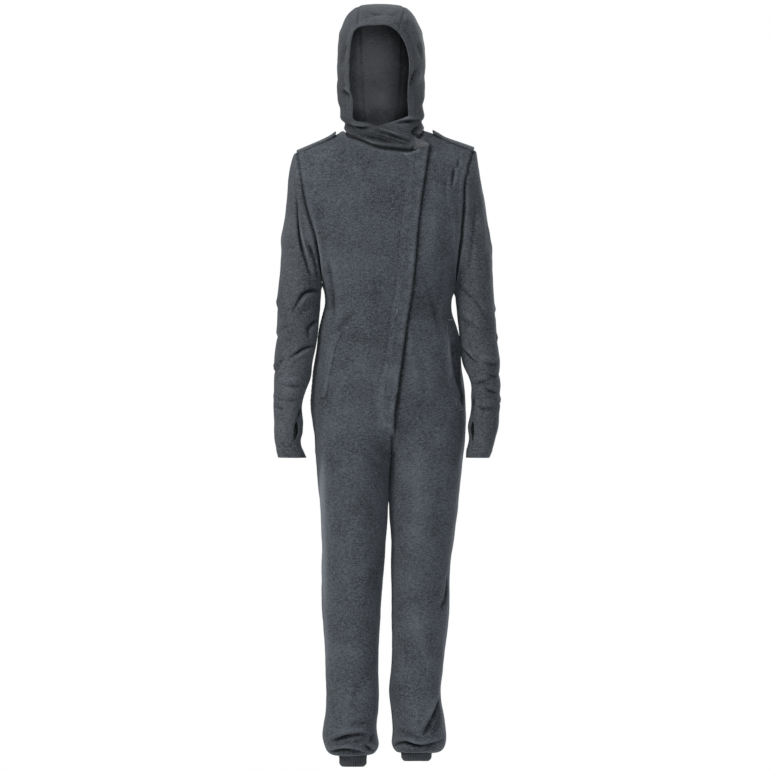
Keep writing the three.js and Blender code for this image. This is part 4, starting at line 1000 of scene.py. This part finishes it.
# Painted shade along the line of its stitches.
tab_cloth.painted_shading_and_tone -= 0.35 * np.exp(-(((tab_cloth.from_hem() - TAB_STITCHES_IN) / (1.0 * MM)) ** 2))
tab_mesh = cloth_mesh("fly_top_tab", tab_cloth, 2.0 * MM)
tab = finish_piece("cloth_fly_top_tab", tab_mesh, (tab_twill,), ["fly_top_tab"])

# The closing strip of the zip: a woven tape under the placket.
zip_tape = fleece("woven_zip_tape", "131416", "292b2e", "505357", mottle=0.5)
cloth = small_cloth("zip_tape", PLAIN)
tape_mesh = cloth_mesh("zip_tape", cloth, 1.6 * MM)
tape = finish_piece("cloth_zip_tape", tape_mesh, (zip_tape,), ["zip_tape"])

# The stitches: spun polyester thread, a little paler than the fleece, in single rows of lockstitch
# along the placket, pockets, hems, hood, straps and tab, and in close bars at the ends of pockets and
# straps. Real stitches are about 3 mm and are drawn at 3.6 mm to show. Their ends dip into the cloth.
STITCH_PITCH = 3.6 * MM
STITCH_LENGTH = 2.7 * MM
SHORTEST_ROW = 16 * MM
TRIMMED = 0.88  # a place in a row is this share of its inset from every edge, or more
BAR_PITCH = 0.9 * MM
BAR_WIDTH = 2.4 * MM
THREAD_RADIUS = 0.38 * MM
THREAD_SIDES = 5
NECK_STITCHES_IN = 9 * MM
STEPS_IN_VIEW = 12  # places taken along each straight part of a route
LEAST_RUN = 12  # points that a stretch of edge needs to carry a row
STITCH_RINGS = ((-1, 0.35, -0.4), (-0.55, 1, 0.35), (0.55, 1, 0.35), (1, 0.35, -0.4))  # place, size, height
POCKET_STITCHES = {
    "front_right": [[(-82, -434), (-109, -462), (-119, -496), (-126, -548)], [(-150, -582), (-106, -582)]],
    "front_left": [[(133, -414), (137, -480), (142, -540), (156, -606)]],
}
POCKET_BARS = {
    "front_right": [[(-92, -428), (-84, -428)], [(-140, -552), (-130, -552)]],
    "front_left": [[(136, -410), (146, -410)], [(160, -610), (170, -610)]],
}


def evenly(row, pitch):
    """A row of places and outward directions, six numbers each, taken again one pitch apart."""
    lengths = np.concatenate([[0], np.cumsum(np.linalg.norm(np.diff(row[:, :3], axis=0), axis=1))])
    at = np.linspace(0, lengths[-1], max(3, round(lengths[-1] / pitch) + 1))
    return np.stack([np.interp(at, lengths, row[:, n]) for n in range(6)], axis=1)


def row_in_view(cloth, view, route):
    """A route in mm, as seen from one side, laid on a piece as a row."""
    facing, across = VIEWS[view]
    surface = BVHTree.FromPolygons(cloth.points.tolist(), cloth.quads.tolist())
    row = []
    for a, b in zip(route[:-1], route[1:]):
        for share in np.linspace(0, 1, STEPS_IN_VIEW):
            start = np.array(facing, float)
            start[[across, 2]] = ((1 - share) * np.array(a) + share * np.array(b)) * MM
            place, out, _, _ = surface.ray_cast(start, -np.array(facing, float))
            if place:
                row.append([*place, *(out if out.dot(facing) > 0 else -out)])
    return np.array(row)


def rows_by_edge(cloth, edge, inset):
    """Rows that run inside the numbered stretch of a piece's edge, at a distance from it. Past a corner
    they stop where they would come too near the next stretch."""
    surface = BVHTree.FromPolygons(cloth.points.tolist(), cloth.quads.tolist())
    rim_tree = near_tree(cloth.points[cloth.rim])
    following = dict(cloth.edges.tolist())
    before = {there: here for here, there in following.items()}
    left = set(int(n) for n in edge)
    rows = []
    while left:
        run = [next((n for n in sorted(left) if before.get(n) not in left), min(left))]
        left.discard(run[0])
        while following.get(run[-1]) in left:
            run.append(following[run[-1]])
            left.discard(run[-1])
        if len(run) < LEAST_RUN:
            continue
        along = np.gradient(cloth.points[run], axis=0)
        inward = np.cross(cloth.out[run], along)
        inward /= np.linalg.norm(inward, axis=1)[:, None]
        row = []
        for number, place in zip(run, cloth.points[run] + inward * inset):
            place, out, _, _ = surface.find_nearest(place)
            if rim_tree.find(place)[2] < TRIMMED * inset:
                continue
            if row and (place - Vector(row[-1][:3])).length > inset:
                rows.append(np.array(row))
                row = []
            row.append([*place, *(out if out.dot(Vector(cloth.out[number])) > 0 else -out)])
        rows.append(np.array(row).reshape(-1, 6))
    return [row for row in rows if len(row) > 1 and np.ptp(row[:, :3], axis=0).max() > SHORTEST_ROW]


def thread_mesh(name, rows, bars=()):
    """Stitches along the rows, and bars of close stitches that cross theirs."""
    corners, faces = [], []
    laid = [(evenly(row, STITCH_PITCH), STITCH_LENGTH, False) for row in rows]
    laid += [(evenly(row, BAR_PITCH), BAR_WIDTH, True) for row in bars]
    for row, length, crossing in laid:
        way = np.gradient(row[:, :3], axis=0)
        way /= np.maximum(np.linalg.norm(way, axis=1), 1e-9)[:, None]
        side = np.cross(way, row[:, 3:])
        side /= np.maximum(np.linalg.norm(side, axis=1), 1e-9)[:, None]
        up = np.cross(side, way)
        if crossing:
            way, side = side, -way
        for n, place in enumerate(row[:, :3]):
            base = len(corners)
            for share, size, height in STITCH_RINGS:
                middle = place + way[n] * share * length / 2 + up[n] * height * THREAD_RADIUS
                for turn in np.arange(THREAD_SIDES) * math.tau / THREAD_SIDES:
                    rim = math.cos(turn) * side[n] + math.sin(turn) * up[n]
                    corners.append(middle + THREAD_RADIUS * size * rim)
            last_ring = base + THREAD_SIDES * (len(STITCH_RINGS) - 1)
            for ring in range(base, last_ring, THREAD_SIDES):
                for turn in range(THREAD_SIDES):
                    a = ring + turn
                    b = ring + (turn + 1) % THREAD_SIDES
                    faces.append((a, a + THREAD_SIDES, b + THREAD_SIDES, b))
            faces.append(tuple(range(base, base + THREAD_SIDES)))
            faces.append(tuple(range(last_ring, last_ring + THREAD_SIDES))[::-1])
    mesh = bpy.data.meshes.new(name)
    mesh.from_pydata([list(corner) for corner in corners], [], faces)
    mesh.polygons.foreach_set("use_smooth", np.ones(len(faces), bool))
    return mesh


thread, tree, output = new_material("spun_polyester_thread")
place = add_node(tree, "ShaderNodeTexCoord").outputs["Object"]
fibres = add_node(tree, "ShaderNodeTexNoise", {"Vector": place, "Scale": 1 / (0.6 * MM), "Detail": 1.0})
thread_colour = add_node(tree, "ShaderNodeMix", {
    0: fibres.outputs[0], 6: linear("4a4d53"), 7: linear("83878e")}, data_type="RGBA")
twisted = add_node(tree, "ShaderNodeBump", {
    "Height": fibres.outputs[0], "Strength": 0.4, "Distance": 0.1 * MM})
spun = add_node(tree, "ShaderNodeBsdfPrincipled", {
    "Base Color": thread_colour.outputs[2], "Roughness": 0.6, "Normal": twisted.outputs[0],
    "Sheen Weight": 0.2, "Sheen Tint": linear("b4b8be")})
tree.links.new(spun.outputs[0], output.inputs[0])

body_rows = [row_in_view(cloths["front_right"], "front", PLACKET_STITCHES)]
body_bars = []
for name in ("front_right", "front_left"):
    body_rows += [row_in_view(cloths[name], "front", route) for route in POCKET_STITCHES[name]]
    body_bars += [row_in_view(cloths[name], "front", route) for route in POCKET_BARS[name]]
sleeve_rows = []
for name in SLEEVES:
    ends = [n for n in cloths[name].hem if cloths[name].points[n, 2] < HEM_TOP]
    sleeve_rows += rows_by_edge(cloths[name], ends, SLEEVE_HEM)
hood_rows = []
for name in HOOD_PIECES:
    hood_rows += rows_by_edge(cloths[name], cloths[name].hem, HOOD_HEM)
    neck = sorted({n for panel in PANELS for n in cloths[name].seams.get(panel, [])})
    hood_rows += rows_by_edge(cloths[name], neck, NECK_STITCHES_IN)
strap_rows, strap_bars = [], []
for name, cloth in straps.items():
    strap_rows += rows_by_edge(cloth, cloth.hem, STRAP_STITCHES_IN)
    surface = BVHTree.FromPolygons(cloth.points.tolist(), cloth.quads.tolist())
    x, y, _ = cloth.points.mean(axis=0)
    tack = []
    for off in np.linspace(-6 * MM, 6 * MM, 5):
        place, out, _, _ = surface.ray_cast((math.copysign(STRAP_FREE_END, x), y + off, 1), (0, 0, -1))
        tack.append([*place, *(out if out.z > 0 else -out)])
    strap_bars.append(np.array(tack))
tab_rows = rows_by_edge(tab_cloth, tab_cloth.hem, TAB_STITCHES_IN)
for name, slot, rows, bars in (
    ("stitches_body", "fleece_body", body_rows, body_bars),
    ("stitches_sleeves", "fleece_sleeve", sleeve_rows, ()),
    ("stitches_hood", "fleece_hood", hood_rows, ()),
    ("stitches_straps", "fleece_strap", strap_rows, strap_bars),
    ("stitches_tab", "tab_cloth", tab_rows, ()),
):
    finish_piece(name, thread_mesh(name, rows, bars), (thread,))
